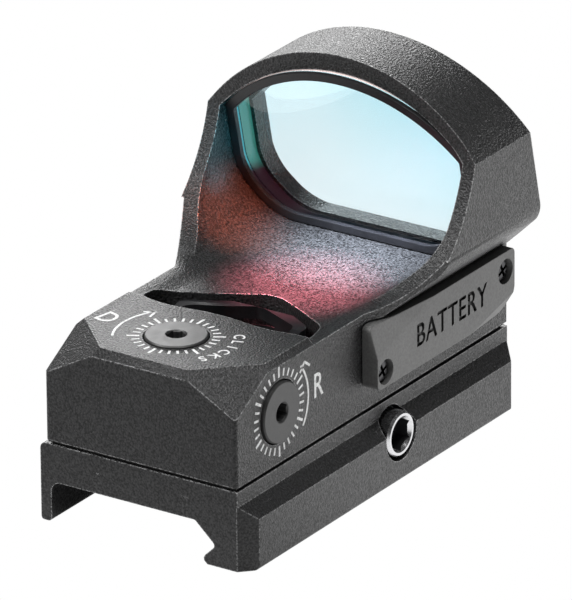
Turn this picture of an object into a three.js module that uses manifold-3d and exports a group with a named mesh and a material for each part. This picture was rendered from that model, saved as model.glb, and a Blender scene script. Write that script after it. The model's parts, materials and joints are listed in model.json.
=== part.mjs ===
// Red dot finder: a mini reflex sight with a tilted lens in an open hood, on a cross-bolt rail base.
// Frame, in millimetres: X to the user's right, Y towards the target, Z up.
// The origin is the centre of the flat seat that rests on top of the rail.
import * as THREE from "three";
import { mergeVertices } from "three/addons/utils/BufferGeometryUtils.js";
import Module from "manifold-3d";

const wasm = await Module();
wasm.setup();

// ---------------------------------------------------------------- driving dimensions

const HALF_LENGTH = 29.4;       // body runs from -Y to +Y of this
const BODY_HALF = 13.5;         // half width of the lower body
const SEAM_Z = 5.3;             // underside of the housing
const DECK_Z = 18.4;            // flat top that carries the elevation dial
const RIM_Z = 17.6;             // top of the side arms beside the emitter bay
const FLOOR_Z = 17.2;           // floor of the hood
const EASE = 0.3;               // running gap between pieces that move

const HOOD = {
  half: 19.05,                  // outer half width
  flareLow: 15.6,               // where the sides start to flare out
  flareHigh: 20.9,              // where they are upright again
  shoulder: 32.4,               // foot of the crown arc
  apex: 42.15,
  rear: 13.9,                   // rear plane of the crown, along Y
};
const WINDOW = { half: 17.3, cornerX: 12.1, cornerZ: 22.4, soften: 3.0, shoulder: 32.2, apex: 39.95 };
const LEAN = Math.tan(THREE.MathUtils.degToRad(13));   // the lens and the hood's front lean back
const LENS_STACK = {            // places along Y at floor level, before the lean
  ring: [18.0, 18.8],
  inner: [18.9, 22.0],
  outer: [22.1, 26.6],
  seat: 26.7,
};
const RING_WIDTH = 1.25;
const FRONT_LIP = 0.6;

const TOP_DIAL = { x: -0.5, y: -20.9 };
const SIDE_DIAL = { y: -20.3, z: 11.8 };
const DIAL = { radius: 3.8, bore: 4.0, neck: 2.0, neckBore: 2.3, shank: 1.5 };
const TOP_PROUD = 0.3;
const SIDE_PROUD = 0.45;
const TOP_BORE_FLOOR = 15.0;    // counterbore floor under the elevation dial
const SIDE_BORE_FLOOR = 10.4;   // counterbore floor behind the windage dial

const BAY = { x0: -9.5, x1: 8.9, y0: -24.5, y1: -4.4, ceiling: 13.6 };
const NUT_BAY = { x0: 4.15, y0: -23.6, y1: -16.9, ceiling: 15.2 };
const BOARD_BAY = { x0: -11.3, x1: 10.3, y1: 24.6, ceiling: 8.4 };

const CELL = { x: 1.0, y: 12.2, radius: 10.0, z0: 10.8, z1: 14.0 };
const TRAY = { x0: -9.7, y0: 1.0, y1: 23.4, z0: 9.9, z1: 14.8 };
const COVER = { x0: 13.65, x1: 15.9, y0: -2.8, y1: 27.5, z0: 8.4, z1: 16.4, corner: 1.5 };
const TRAY_SCREWS = [
  { name: "tray_screw_rear", y: -1.05, z: 10.4 },
  { name: "tray_screw_front", y: 25.4, z: 13.85 },
];
const BUTTONS = [
  { name: "button_up", y: 17.5 },
  { name: "button_down", y: 7.0 },
];
const BUTTON_Z = 12.2;

const BASE_TOP = 4.95;
const BASE_FOOT = -5.3;
const GRIP = { shoulder: 7.83, root: 10.5, rootZ: -2.7, lip: 8.8, lipZ: -4.4 };   // dovetail groove
const BASE_RIGHT = 15.4;
const BASE_LEFT = -14.3;
const LEG_INNER = -12.8;
const JAW_GAP = { y0: -17.4, y1: 20.6 };
const FLARE_END = { inner: 1, outer: 8.5, top: 22 };  // where the flare fades into the body's side
const BOLT = { y: 3.1, z: 0.65, head: 2.85, seat: 3.3, shank: 2.0, bore: 2.3 };
const BASE_SCREWS = [[-6.2, -26.9], [6.2, -26.9], [-6.2, 26.6], [6.2, 26.6]];
const DOWELS = [[10.6, -26.9], [-10.6, 26.6]];

// ---------------------------------------------------------------- finishes

const FINISH = {
  housing: { color: 0x4a4a4b, roughness: 0.62, metalness: 0.35 },
  base: { color: 0x2e2e2f, roughness: 0.6, metalness: 0.35 },
  dial: { color: 0x6f6f70, roughness: 0.42, metalness: 0.7 },
  cover: { color: 0x6b6b6a, roughness: 0.55, metalness: 0.1 },
  blackPlastic: { color: 0x141416, roughness: 0.5, metalness: 0.0 },
  rubber: { color: 0x0c0c0d, roughness: 0.85, metalness: 0.0 },
  steel: { color: 0xc9cbce, roughness: 0.25, metalness: 0.95 },
  blackSteel: { color: 0x2b2b2d, roughness: 0.4, metalness: 0.8 },
  brass: { color: 0xb08a45, roughness: 0.35, metalness: 0.9 },
  board: { color: 0x1f4d33, roughness: 0.5, metalness: 0.0 },
  glass: { color: 0xa8dcf0, roughness: 0.05, metalness: 0.0, transparent: true, opacity: 0.45 },
  red: { color: 0xc02018, roughness: 0.3, metalness: 0.0 },
};

// ---------------------------------------------------------------- solid helpers

function solid(geometry) {
  const bare = geometry.clone();
  bare.deleteAttribute("normal");
  bare.deleteAttribute("uv");
  const merged = mergeVertices(bare, 1e-4);
  const index = merged.index.array;
  const triVerts = [];
  for (let i = 0; i < index.length; i += 3) {
    const [a, b, c] = [index[i], index[i + 1], index[i + 2]];
    if (a !== b && b !== c && c !== a) {
      triVerts.push(a, b, c);
    }
  }
  return new wasm.Manifold(new wasm.Mesh({
    numProp: 3,
    vertProperties: new Float32Array(merged.attributes.position.array),
    triVerts: new Uint32Array(triVerts),
  }));
}

const join = (...pieces) => pieces.reduce((a, b) => a.add(b));
const cut = (body, ...tools) => tools.reduce((a, b) => a.subtract(b), body);
const common = (a, b) => a.intersect(b);

function block(x0, x1, y0, y1, z0, z1) {
  const box = new THREE.BoxGeometry(x1 - x0, y1 - y0, z1 - z0);
  return solid(box.translate((x0 + x1) / 2, (y0 + y1) / 2, (z0 + z1) / 2));
}

const AXES = {
  x: [new THREE.Vector3(0, 1, 0), new THREE.Vector3(0, 0, 1), new THREE.Vector3(1, 0, 0)],
  y: [new THREE.Vector3(1, 0, 0), new THREE.Vector3(0, 0, 1), new THREE.Vector3(0, -1, 0)],
  z: [new THREE.Vector3(1, 0, 0), new THREE.Vector3(0, 1, 0), new THREE.Vector3(0, 0, 1)],
};

// Extrudes an outline along x, y or z. The outline's two numbers are the other two axes, in order.
function prism(axis, outline, from, to) {
  const shape = outline instanceof THREE.Shape ? outline : polygon(outline);
  const settings = { depth: to - from, bevelEnabled: false, curveSegments: 14 };
  const geometry = new THREE.ExtrudeGeometry(shape, settings);
  geometry.applyMatrix4(new THREE.Matrix4().makeBasis(...AXES[axis]));
  const start = axis === "y" ? to : from;
  const shift = new THREE.Vector3();
  shift[axis] = start;
  return solid(geometry.translate(shift.x, shift.y, shift.z));
}

const polygon = (points) => new THREE.Shape(points.map(([u, v]) => new THREE.Vector2(u, v)));

// A round bar along an axis, centred at (u, v) on the other two axes.
function rod(axis, radius, from, to, u, v, segments = 28) {
  const shape = new THREE.Shape();
  shape.setFromPoints(circlePoints(radius, u, v, segments));
  return prism(axis, shape, from, to);
}

function circlePoints(radius, u, v, segments, turn = 0) {
  const points = [];
  for (let i = 0; i < segments; i += 1) {
    const angle = turn + (2 * Math.PI * i) / segments;
    points.push(new THREE.Vector2(u + radius * Math.cos(angle), v + radius * Math.sin(angle)));
  }
  return points;
}

// A hexagonal bar, given by its width across flats.
const hexRod = (axis, flats, from, to, u, v) => rod(axis, flats / Math.sqrt(3), from, to, u, v, 6);

function roundedRectangle(u0, u1, v0, v1, r) {
  const shape = new THREE.Shape();
  shape.moveTo(u0 + r, v0);
  shape.lineTo(u1 - r, v0);
  shape.absarc(u1 - r, v0 + r, r, -Math.PI / 2, 0);
  shape.lineTo(u1, v1 - r);
  shape.absarc(u1 - r, v1 - r, r, 0, Math.PI / 2);
  shape.lineTo(u0 + r, v1);
  shape.absarc(u0 + r, v1 - r, r, Math.PI / 2, Math.PI);
  shape.lineTo(u0, v0 + r);
  shape.absarc(u0 + r, v0 + r, r, Math.PI, 1.5 * Math.PI);
  return shape;
}

const sight = new THREE.Group();

function part(name, body, finish) {
  const mesh = body.getMesh();
  const geometry = new THREE.BufferGeometry();
  geometry.setAttribute("position", new THREE.BufferAttribute(mesh.vertProperties, 3));
  geometry.setIndex(new THREE.BufferAttribute(mesh.triVerts, 1));
  geometry.computeVertexNormals();
  const node = new THREE.Mesh(geometry, new THREE.MeshStandardMaterial(FINISH[finish]));
  node.name = name;
  sight.add(node);
}

// ---------------------------------------------------------------- hood and window outlines

// Arc over the crown, from the right shoulder to the left one.
function crownArc(shape, half, shoulder, apex) {
  const rise = apex - shoulder;
  const radius = (half * half + rise * rise) / (2 * rise);
  const centre = apex - radius;
  const end = Math.atan2(shoulder - centre, half);
  shape.absarc(0, centre, radius, end, Math.PI - end);
}

function hoodOutline() {
  const shape = new THREE.Shape();
  shape.moveTo(-BODY_HALF, SEAM_Z + 6);
  shape.lineTo(BODY_HALF, SEAM_Z + 6);
  shape.lineTo(BODY_HALF, HOOD.flareLow);
  shape.lineTo(HOOD.half, HOOD.flareHigh);
  shape.lineTo(HOOD.half, HOOD.shoulder);
  crownArc(shape, HOOD.half, HOOD.shoulder, HOOD.apex);
  shape.lineTo(-HOOD.half, HOOD.flareHigh);
  shape.lineTo(-BODY_HALF, HOOD.flareLow);
  return shape;
}

// The window inside the hood: flat floor, slanted lower corners, upright sides and an arched top.
function windowOutline(inset) {
  const half = WINDOW.half - inset;
  const floor = FLOOR_Z + inset;
  const foot = WINDOW.cornerX - inset * 0.4;
  const knee = WINDOW.cornerZ + inset * 0.4;
  const soften = WINDOW.soften;
  const slant = soften / Math.SQRT2;
  const shape = new THREE.Shape();
  shape.moveTo(-foot + soften, floor);
  shape.lineTo(foot - soften, floor);
  shape.quadraticCurveTo(foot, floor, foot + slant, floor + slant);
  shape.lineTo(half - 1, knee - 1);
  shape.quadraticCurveTo(half, knee, half, knee + soften / 2);
  crownArc(shape, half, WINDOW.shoulder - inset / 2, WINDOW.apex - inset);
  shape.lineTo(-half, knee + soften / 2);
  shape.quadraticCurveTo(-half, knee, 1 - half, knee - 1);
  shape.lineTo(-foot - slant, floor + slant);
  shape.quadraticCurveTo(-foot, floor, -foot + soften, floor);
  return shape;
}

// Extrudes a window outline along Y between two places at floor level, then leans it back.
function leaning(outline, from, to) {
  const settings = { depth: to - from, bevelEnabled: false, curveSegments: 14 };
  const geometry = new THREE.ExtrudeGeometry(outline, settings);
  geometry.applyMatrix4(new THREE.Matrix4().makeBasis(...AXES.y));
  geometry.translate(0, to + LEAN * FLOOR_Z, 0);
  geometry.applyMatrix4(new THREE.Matrix4().makeShear(0, 0, 0, 0, 0, -LEAN));
  return solid(geometry);
}

// ---------------------------------------------------------------- housing

// Side view of the body: deck, side arms, the sweep up to the crown and the leaning front.
function sideOutline() {
  const shape = new THREE.Shape();
  const chamfer = 0.95;
  const front = HALF_LENGTH - LEAN * (HOOD.apex + 0.5 - FLOOR_Z);
  shape.moveTo(-HALF_LENGTH, SEAM_Z);
  shape.lineTo(HALF_LENGTH, SEAM_Z);
  shape.lineTo(HALF_LENGTH, FLOOR_Z);
  shape.lineTo(front, HOOD.apex + 0.5);
  shape.lineTo(HOOD.rear, HOOD.apex + 0.5);
  shape.lineTo(HOOD.rear, 33.8);
  shape.bezierCurveTo(12.8, 25.9, 6.1, 17.9, -2.4, RIM_Z);
  shape.lineTo(-12.4, RIM_Z - 0.1);
  shape.lineTo(-12.9, DECK_Z);
  shape.lineTo(-HALF_LENGTH + chamfer, DECK_Z);
  shape.lineTo(-HALF_LENGTH, DECK_Z - chamfer);
  return shape;
}

// The two large flats that take off the rear top corners of the body.
function cornerCut(side) {
  const normal = new THREE.Vector3(0.428 * side, -0.4475, 0.786).normalize();
  const turn = new THREE.Quaternion().setFromUnitVectors(new THREE.Vector3(0, 0, 1), normal);
  const box = new THREE.BoxGeometry(26, 26, 8).translate(0, 0, 4);
  box.applyQuaternion(turn);
  return solid(box.translate(10.2 * side, -27.2, 16.88));
}

function deckEdgeCut(side) {
  const width = 0.8;
  const outline = [
    [side * (BODY_HALF + 1), DECK_Z - width - 1],
    [side * (BODY_HALF + 1), DECK_Z + 1],
    [side * (BODY_HALF - width - 1), DECK_Z + 1],
  ];
  return prism("y", side > 0 ? outline : outline.reverse(), -HALF_LENGTH - 1, -12.9);
}

// The open bay ahead of the deck that the emitter looks out of.
const BAY_MOUTH = [
  [-11.7, -12.4], [-7.6, -13.6], [0, -12.7], [7.1, -13.5], [12.2, -12.6],
  [11.2, -7.2], [4.4, -3.4], [0.8, -1.9], [-3.8, -4.6], [-11.7, -8.8],
];

// The wedge that ends the flare behind the hood, seen from above.
function flareTrim(side) {
  const corners = [[BODY_HALF, -14], [22, -14], [22, FLARE_END.outer], [BODY_HALF, FLARE_END.inner]];
  const wedge = corners.map(([x, y]) => [side * x, y]);
  return side > 0 ? wedge : wedge.reverse();
}

function housing() {
  const side = prism("x", sideOutline(), -HOOD.half - 1, HOOD.half + 1);
  const plan = roundedRectangle(-BODY_HALF, BODY_HALF, -HALF_LENGTH, HALF_LENGTH, 0.8);
  const lower = common(prism("z", plan, SEAM_Z, DECK_Z), side);
  const upper = common(prism("y", hoodOutline(), -12.4, HALF_LENGTH + 1), side);
  const shell = cut(
    join(lower, upper),
    cornerCut(1),
    cornerCut(-1),
    deckEdgeCut(1),
    deckEdgeCut(-1),
    leaning(windowOutline(0), -60, LENS_STACK.seat),
    leaning(windowOutline(FRONT_LIP), LENS_STACK.seat - 1, 60),
  );
  const deck = common(lower, block(-20, 20, -40, -12.9, 0, 40));
  const body = join(shell, cut(deck, cornerCut(1), cornerCut(-1), deckEdgeCut(1), deckEdgeCut(-1)));
  const bores = [
    prism("z", polygon(BAY_MOUTH), BAY.ceiling - 1.1, 30),
    block(BAY.x0, BAY.x1, BAY.y0, BAY.y1, SEAM_Z - 1, BAY.ceiling),
    block(NUT_BAY.x0, BAY.x1, NUT_BAY.y0, NUT_BAY.y1, SEAM_Z, NUT_BAY.ceiling),
    block(BOARD_BAY.x0, BOARD_BAY.x1, BAY.y1 - 1, BOARD_BAY.y1, SEAM_Z - 1, BOARD_BAY.ceiling),
    rod("z", DIAL.bore, TOP_BORE_FLOOR, 30, TOP_DIAL.x, TOP_DIAL.y, 40),
    rod("z", DIAL.neckBore, BAY.ceiling - 1, 30, TOP_DIAL.x, TOP_DIAL.y),
    rod("x", DIAL.bore, SIDE_BORE_FLOOR, 20, SIDE_DIAL.y, SIDE_DIAL.z, 40),
    rod("x", DIAL.neckBore, BAY.x1 - 1, 20, SIDE_DIAL.y, SIDE_DIAL.z),
    rod("z", 0.65, TOP_BORE_FLOOR - 0.9, TOP_BORE_FLOOR + 1, TOP_DIAL.x - 3.1, TOP_DIAL.y, 12),
    rod("x", 0.65, SIDE_BORE_FLOOR - 0.9, SIDE_BORE_FLOOR + 1, SIDE_DIAL.y - 3.1, SIDE_DIAL.z, 12),
    block(-10.1, 20, TRAY.y0 - EASE, TRAY.y1 + EASE, TRAY.z0 - 0.4, TRAY.z1 + 0.4),
    block(-12.2, -9, 3.0, 21.5, TRAY.z0 - 0.4, TRAY.z1 + 0.4),
    block(-3, 5, 9.2, 15.2, BOARD_BAY.ceiling - 1, TRAY.z0),
    block(-12.2, -10.6, 10.5, 13.9, SEAM_Z + 1, TRAY.z0),
    block(BODY_HALF, 20, COVER.y0 - EASE, COVER.y1 + EASE, COVER.z0, COVER.z1 + EASE),
    prism("z", polygon(flareTrim(1)), SEAM_Z, FLARE_END.top),
    prism("z", polygon(flareTrim(-1)), SEAM_Z, FLARE_END.top),
  ];
  for (const screw of TRAY_SCREWS) {
    bores.push(rod("x", 1.15, 8.8, 20, screw.y, screw.z, 16));
  }
  for (const button of BUTTONS) {
    bores.push(rod("x", 2.9, -20, -12.9, button.y, BUTTON_Z));
    bores.push(rod("x", 1.3, -14, -11, button.y, BUTTON_Z, 16));
  }
  for (const [x, y] of BASE_SCREWS) {
    bores.push(rod("z", 1.4, SEAM_Z - 1, 9.9, x, y, 16));
  }
  for (const [x, y] of DOWELS) {
    bores.push(rod("z", 1.3, SEAM_Z - 1, 8.7, x, y, 16));
  }
  return cut(body, ...bores);
}

// ---------------------------------------------------------------- lens stack

const SEATED = 0.12;            // gap round the glass and its ring

function lensElement(place) {
  return leaning(windowOutline(SEATED), ...place);
}

function retainingRing() {
  const hole = leaning(windowOutline(RING_WIDTH), LENS_STACK.ring[0] - 1, LENS_STACK.ring[1] + 1);
  return cut(leaning(windowOutline(SEATED), ...LENS_STACK.ring), hole);
}

// ---------------------------------------------------------------- adjusters

// A captive adjuster along an axis: slotted dial, neck, clip groove and threaded shank.
function adjuster(axis, face, floor, wall, tip, u, v) {
  const discFoot = floor + 0.4;
  const clipTop = wall - EASE;
  const clipFoot = clipTop - 0.7;
  const ringGroove = cut(rod(axis, 5, face - 2.6, face - 1.9, u, v), rod(axis, 3.3, 0, 30, u, v));
  const clipGroove = cut(rod(axis, 4, clipFoot, clipTop, u, v), rod(axis, 1.2, 0, 30, u, v));
  return cut(
    join(
      rod(axis, DIAL.radius, discFoot, face, u, v, 40),
      rod(axis, DIAL.neck, clipFoot - 0.3, discFoot + 1, u, v),
      rod(axis, DIAL.shank, tip, clipFoot + 1, u, v, 20),
    ),
    hexRod(axis, 2.2, face - 1.6, face + 1, u, v),
    ringGroove,
    clipGroove,
  );
}

// An E-clip that sits in the adjuster's groove, open on one side.
function clip(axis, top, u, v) {
  const foot = top - 0.7;
  const mouth = axis === "z"
    ? block(u - 0.9, u + 0.9, v, v + 5, foot - 1, top + 1)
    : block(foot - 1, top + 1, u - 0.9, u + 0.9, v - 5, v);
  return cut(
    rod(axis, 3.0, foot + 0.08, top - 0.08, u, v),
    rod(axis, 1.28, foot - 1, top + 1, u, v, 20),
    mouth,
  );
}

function sealRing(axis, at, u, v) {
  const ring = new THREE.TorusGeometry(3.65, 0.27, 8, 32);
  ring.applyMatrix4(new THREE.Matrix4().makeBasis(...AXES[axis]));
  const place = axis === "z" ? [u, v, at] : [at, u, v];
  return solid(ring.translate(...place));
}

function ball(x, y, z, radius) {
  return solid(new THREE.SphereGeometry(radius, 12, 8).translate(x, y, z));
}

// A coil spring as one closed tube along a helix.
class Helix extends THREE.Curve {
  constructor(axis, radius, turns, from, to, u, v) {
    super();
    Object.assign(this, { axis, radius, turns, from, to, u, v });
  }

  getPoint(t, target = new THREE.Vector3()) {
    const angle = 2 * Math.PI * this.turns * t;
    const along = this.from + (this.to - this.from) * t;
    const a = this.u + this.radius * Math.cos(angle);
    const b = this.v + this.radius * Math.sin(angle);
    return this.axis === "z" ? target.set(a, b, along) : target.set(along, a, b);
  }
}

function spring(axis, radius, wire, turns, from, to, u, v) {
  const path = new Helix(axis, radius, turns, from + wire, to - wire, u, v);
  const section = new THREE.Shape().setFromPoints(circlePoints(wire, 0, 0, 6));
  const settings = { steps: turns * 10, extrudePath: path, bevelEnabled: false };
  return solid(new THREE.ExtrudeGeometry(section, settings));
}

// ---------------------------------------------------------------- emitter

const YOKE = { x0: -8.2, x1: 7.8, y0: -23.8, y1: -9.6, z0: 6.4, z1: 8.8 };

function elevationYoke() {
  return cut(
    join(
      block(YOKE.x0, YOKE.x1, YOKE.y0, YOKE.y1, YOKE.z0, YOKE.z1),
      block(-3, 3, -23.6, -17.6, YOKE.z1 - 0.5, 10.4),
    ),
    rod("z", DIAL.shank + EASE, 0, 20, TOP_DIAL.x, TOP_DIAL.y, 20),
    block(-5.6, 5.6, -12.6, -11.0, YOKE.z1 - 0.8, YOKE.z1 + 1),
  );
}

function emitterCarrier() {
  const table = YOKE.z1 + 0.2;
  return cut(
    join(
      block(4.55, 6.9, -22.9, -17.4, table, 14.6),
      block(4.55, 6.9, -18, -12.9, table, 11.2),
      block(-5.2, 6.9, -13.6, -10.2, table, 11.2),
      block(-2.6, 2.6, -12.4, -10.2, 11, 15.4),
      block(-4.6, 4.6, -12.3, -11.3, YOKE.z1 - 0.6, table + 0.5),
    ),
    rod("x", DIAL.shank + 0.45, 0, 10, SIDE_DIAL.y, SIDE_DIAL.z, 20),
    block(-1.5, 1.5, -10.7, -10, 13.0, 15.0),
  );
}

function led() {
  return join(block(-1.3, 1.3, -10.6, -9.9, 13.2, 14.8), rod("y", 0.5, -10, -9.5, 0, 14.0, 12));
}

// The black shroud over the emitter: a low two-humped roof with a slot towards the lens.
function emitterShroud() {
  const roof = [[-10.9, 12.9], [-2.6, 12.9], [-2.6, 15.6], [-5.0, 16.9], [-8.4, 16.7], [-10.9, 15.9]];
  const inside = [[-10.1, 12], [-2, 12], [-2, 15.1], [-5.4, 16.1], [-8.3, 15.9], [-10.1, 15.4]];
  const plan = [
    [-8.6, -11], [8.6, -11], [8.9, -7.0], [4.1, -4.2], [0.8, -2.9], [-3.7, -5.4], [-8.6, -8.0],
  ];
  const insidePlan = plan.map(([x, y]) => [x * 0.88, y < -10 ? y : y - 0.75]);
  return cut(
    common(prism("x", roof, -9, 9), prism("z", plan, 12, 18)),
    common(prism("x", inside, -9, 9), prism("z", insidePlan, 11, 18)),
    block(-3.2, 3.2, -8, 0, 13.6, 15.0),
    block(-3.4, 3.4, -13, -9.7, 12, 15.8),
  );
}

// ---------------------------------------------------------------- battery drawer

function batteryTray() {
  const neck = 11.6;
  return cut(
    block(TRAY.x0, BODY_HALF, TRAY.y0, TRAY.y1, TRAY.z0, TRAY.z1),
    rod("z", CELL.radius + 0.15, CELL.z0 - 0.1, 20, CELL.x, CELL.y, 48),
    rod("z", 6, 0, 20, CELL.x, CELL.y),
    block(-20, -6, 9.6, 14.8, TRAY.z0 + 0.3, 20),
    cut(
      block(neck + 0.6, neck + 1.2, 0, 30, 0, 30),
      block(neck, neck + 2, TRAY.y0 + 0.4, TRAY.y1 - 0.4, TRAY.z0 + 0.4, TRAY.z1 - 0.4),
    ),
  );
}

function traySeal() {
  const outer = block(12.25, 12.75, TRAY.y0 - 0.2, TRAY.y1 + 0.2, TRAY.z0 - 0.3, TRAY.z1 + 0.3);
  const inner = block(12, 13, TRAY.y0 + 0.3, TRAY.y1 - 0.3, TRAY.z0 + 0.3, TRAY.z1 - 0.3);
  return cut(outer, inner);
}

function batteryCover() {
  const { x0, x1, y0, y1, z0, z1, corner } = COVER;
  const plate = prism("x", roundedRectangle(y0, y1, z0, z1, corner), x0, x1);
  const lowCut = [[y1 - 5.4, z0 - 0.1], [y1 + 1, z0 - 0.1], [y1 + 1, z0 + 3.2], [y1, z0 + 2.4]];
  const highCut = [[y0 - 1, z1 - 2.6], [y0, z1 - 1.7], [y0 + 4.5, z1 + 0.1], [y0 - 1, z1 + 0.1]];
  const cuts = [prism("x", lowCut, x0 - 1, x1 + 1), prism("x", highCut, x1 - 0.7, x1 + 1)];
  for (const screw of TRAY_SCREWS) {
    cuts.push(rod("x", 1.2, 0, 20, screw.y, screw.z, 16));
    cuts.push(rod("x", 1.9, x1 - 1.5, 20, screw.y, screw.z, 24));
  }
  return cut(plate, ...cuts);
}

function crossScrew(y, z) {
  const face = COVER.x1 - 0.15;
  return cut(
    join(rod("x", 1.65, face - 1.2, face, y, z, 24), rod("x", 1.0, 9.2, face - 1, y, z, 16)),
    block(face - 0.7, face + 1, y - 1.1, y + 1.1, z - 0.2, z + 0.2),
    block(face - 0.7, face + 1, y - 0.2, y + 0.2, z - 1.1, z + 1.1),
  );
}

function coinCell() {
  const rim = CELL.z0 + 0.4;
  return join(
    rod("z", CELL.radius, rim, CELL.z1, CELL.x, CELL.y, 48),
    rod("z", 8.8, CELL.z0, rim + 0.1, CELL.x, CELL.y, 40),
  );
}

function negativeContact() {
  const outline = [
    [-2.6, 7.4], [4.4, 7.4], [4.4, 7.8], [1.8, 7.8], [0.9, 9.75], [-1.2, 9.75], [-1.2, 9.4], [0.6, 9.4],
    [1.4, 7.8], [-2.6, 7.8],
  ];
  return prism("y", outline, 10.2, 14.2);
}

function positiveContact() {
  const outline = [
    [-10.35, 10.4], [-10.05, 10.4], [-10.05, 11.2], [-9.2, 12.3], [-10.05, 13.4], [-10.05, 14.4],
    [-10.35, 14.4], [-10.35, 13.2], [-9.6, 12.3], [-10.35, 11.4],
  ];
  return prism("y", outline, 10.4, 14.0);
}

function rubberButton(y) {
  return join(
    rod("x", 2.6, -14.3, -13.45, y, BUTTON_Z),
    rod("x", 1.0, -13.6, -12.45, y, BUTTON_Z, 16),
  );
}

// ---------------------------------------------------------------- rail base

function baseOutline() {
  const shape = new THREE.Shape();
  shape.moveTo(-BODY_HALF, BASE_TOP);
  shape.absarc(-BODY_HALF, BASE_TOP - 0.8, 0.8, Math.PI / 2, Math.PI);
  shape.lineTo(BASE_LEFT, -4.85);
  shape.lineTo(BASE_LEFT + 0.3, -5.15);
  shape.lineTo(LEG_INNER - 0.3, -5.15);
  shape.lineTo(LEG_INNER, -4.85);
  shape.lineTo(LEG_INNER, -1.3);
  shape.absarc(LEG_INNER + 1.3, -1.3, 1.3, Math.PI, Math.PI / 2, true);
  shape.lineTo(GRIP.shoulder, 0);
  shape.lineTo(GRIP.root, GRIP.rootZ);
  shape.lineTo(GRIP.lip, GRIP.lipZ);
  shape.lineTo(GRIP.lip, GRIP.lipZ - 0.4);
  shape.lineTo(GRIP.lip + 0.5, BASE_FOOT);
  shape.lineTo(BASE_RIGHT - 0.3, BASE_FOOT);
  shape.lineTo(BASE_RIGHT, BASE_FOOT + 0.3);
  shape.lineTo(BASE_RIGHT, 1.2);
  shape.lineTo(13.6, 2.95);
  shape.lineTo(13.6, BASE_TOP);
  return shape;
}

// Upright prism that takes the outer corner off the base's right-hand block.
function baseCornerCut(end) {
  const size = 1.9;
  const y = HALF_LENGTH * end;
  const outline = [
    [BASE_RIGHT + 1, y - (size + 1) * end],
    [BASE_RIGHT + 1, y + end],
    [BASE_RIGHT - size - 1, y + end],
  ];
  const ordered = end > 0 ? outline : outline.reverse();
  return prism("z", ordered, BASE_FOOT - 1, 2.95);
}

function mountBase() {
  const tools = [
    baseCornerCut(1),
    baseCornerCut(-1),
    block(BASE_LEFT - 1, LEG_INNER + 1.4, JAW_GAP.y0, JAW_GAP.y1, -8, 0),
    rod("x", BOLT.bore, -20, 20, BOLT.y, BOLT.z),
    rod("x", BOLT.seat, 12.3, 20, BOLT.y, BOLT.z, 32),
  ];
  for (const [x, y] of BASE_SCREWS) {
    tools.push(rod("z", 1.4, -1, 6, x, y, 16));
    tools.push(rod("z", 2.45, -1, 2.6, x, y, 20));
  }
  for (const [x, y] of DOWELS) {
    tools.push(rod("z", 1.3, 2.0, 6, x, y, 16));
  }
  return cut(prism("y", baseOutline(), -HALF_LENGTH, HALF_LENGTH), ...tools);
}

function baseSeal() {
  const tools = [block(-11.6, 11.6, -24.9, 24.9, 0, 10)];
  for (const [x, y] of [...BASE_SCREWS, ...DOWELS]) {
    tools.push(rod("z", 1.6, 0, 10, x, y, 16));
  }
  const edge = BODY_HALF - 0.25;
  return cut(block(-edge, edge, 0.25 - HALF_LENGTH, HALF_LENGTH - 0.25, 5.0, 5.25), ...tools);
}

function baseScrew(x, y) {
  return cut(
    join(rod("z", 2.25, 0.3, 2.5, x, y, 20), rod("z", 1.25, 2, 9.5, x, y, 16)),
    hexRod("z", 1.5, 0, 1.4, x, y),
  );
}

function clampBolt() {
  return cut(
    join(
      rod("x", BOLT.head, 12.6, 15.4, BOLT.y, BOLT.z, 32),
      rod("x", BOLT.shank, -18.2, 13, BOLT.y, BOLT.z, 24),
    ),
    hexRod("x", 3.8, 13.4, 16, BOLT.y, BOLT.z),
  );
}

// The jaw: an outer plate with a nut boss, and a hook that reaches through the leg to the rail.
function clampJaw() {
  const plate = prism("x", roundedRectangle(-18.6, 21.8, -5.0, 3.4, 1.2), -15.9, -14.65);
  const hook = prism("y", [
    [-15, -5.0], [-9.2, -5.0], [-8.8, -4.6], [-8.8, -4.4], [-10.5, -2.7], [-8.45, -0.65],
    [-8.45, -0.35], [-15, -0.35],
  ], JAW_GAP.y0 + 0.5, JAW_GAP.y1 - 0.5);
  const boss = rod("x", 4.6, -17.6, -15, BOLT.y, BOLT.z);
  return cut(
    join(plate, hook, boss),
    rod("x", BOLT.shank + EASE, -20, 0, BOLT.y, BOLT.z, 24),
    hexRod("x", 6.6, -18, -15.4, BOLT.y, BOLT.z),
  );
}

function clampNut() {
  return cut(
    hexRod("x", 6.4, -17.5, -15.5, BOLT.y, BOLT.z),
    rod("x", BOLT.shank + 0.1, -20, 0, BOLT.y, BOLT.z, 24),
  );
}

// ---------------------------------------------------------------- assembly

part("housing", housing(), "housing");
part("lens_inner", lensElement(LENS_STACK.inner), "glass");
part("lens_outer", lensElement(LENS_STACK.outer), "glass");
part("lens_ring", retainingRing(), "blackPlastic");

part("mount_base", mountBase(), "base");
part("base_seal", baseSeal(), "rubber");
BASE_SCREWS.forEach(([x, y], i) => part(`base_screw_${i + 1}`, baseScrew(x, y), "blackSteel"));
DOWELS.forEach(([x, y], i) => part(`dowel_${i + 1}`, rod("z", 1.2, 2.3, 8.4, x, y, 16), "steel"));
part("clamp_bolt", clampBolt(), "steel");
part("clamp_jaw", clampJaw(), "steel");
part("clamp_nut", clampNut(), "steel");

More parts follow.
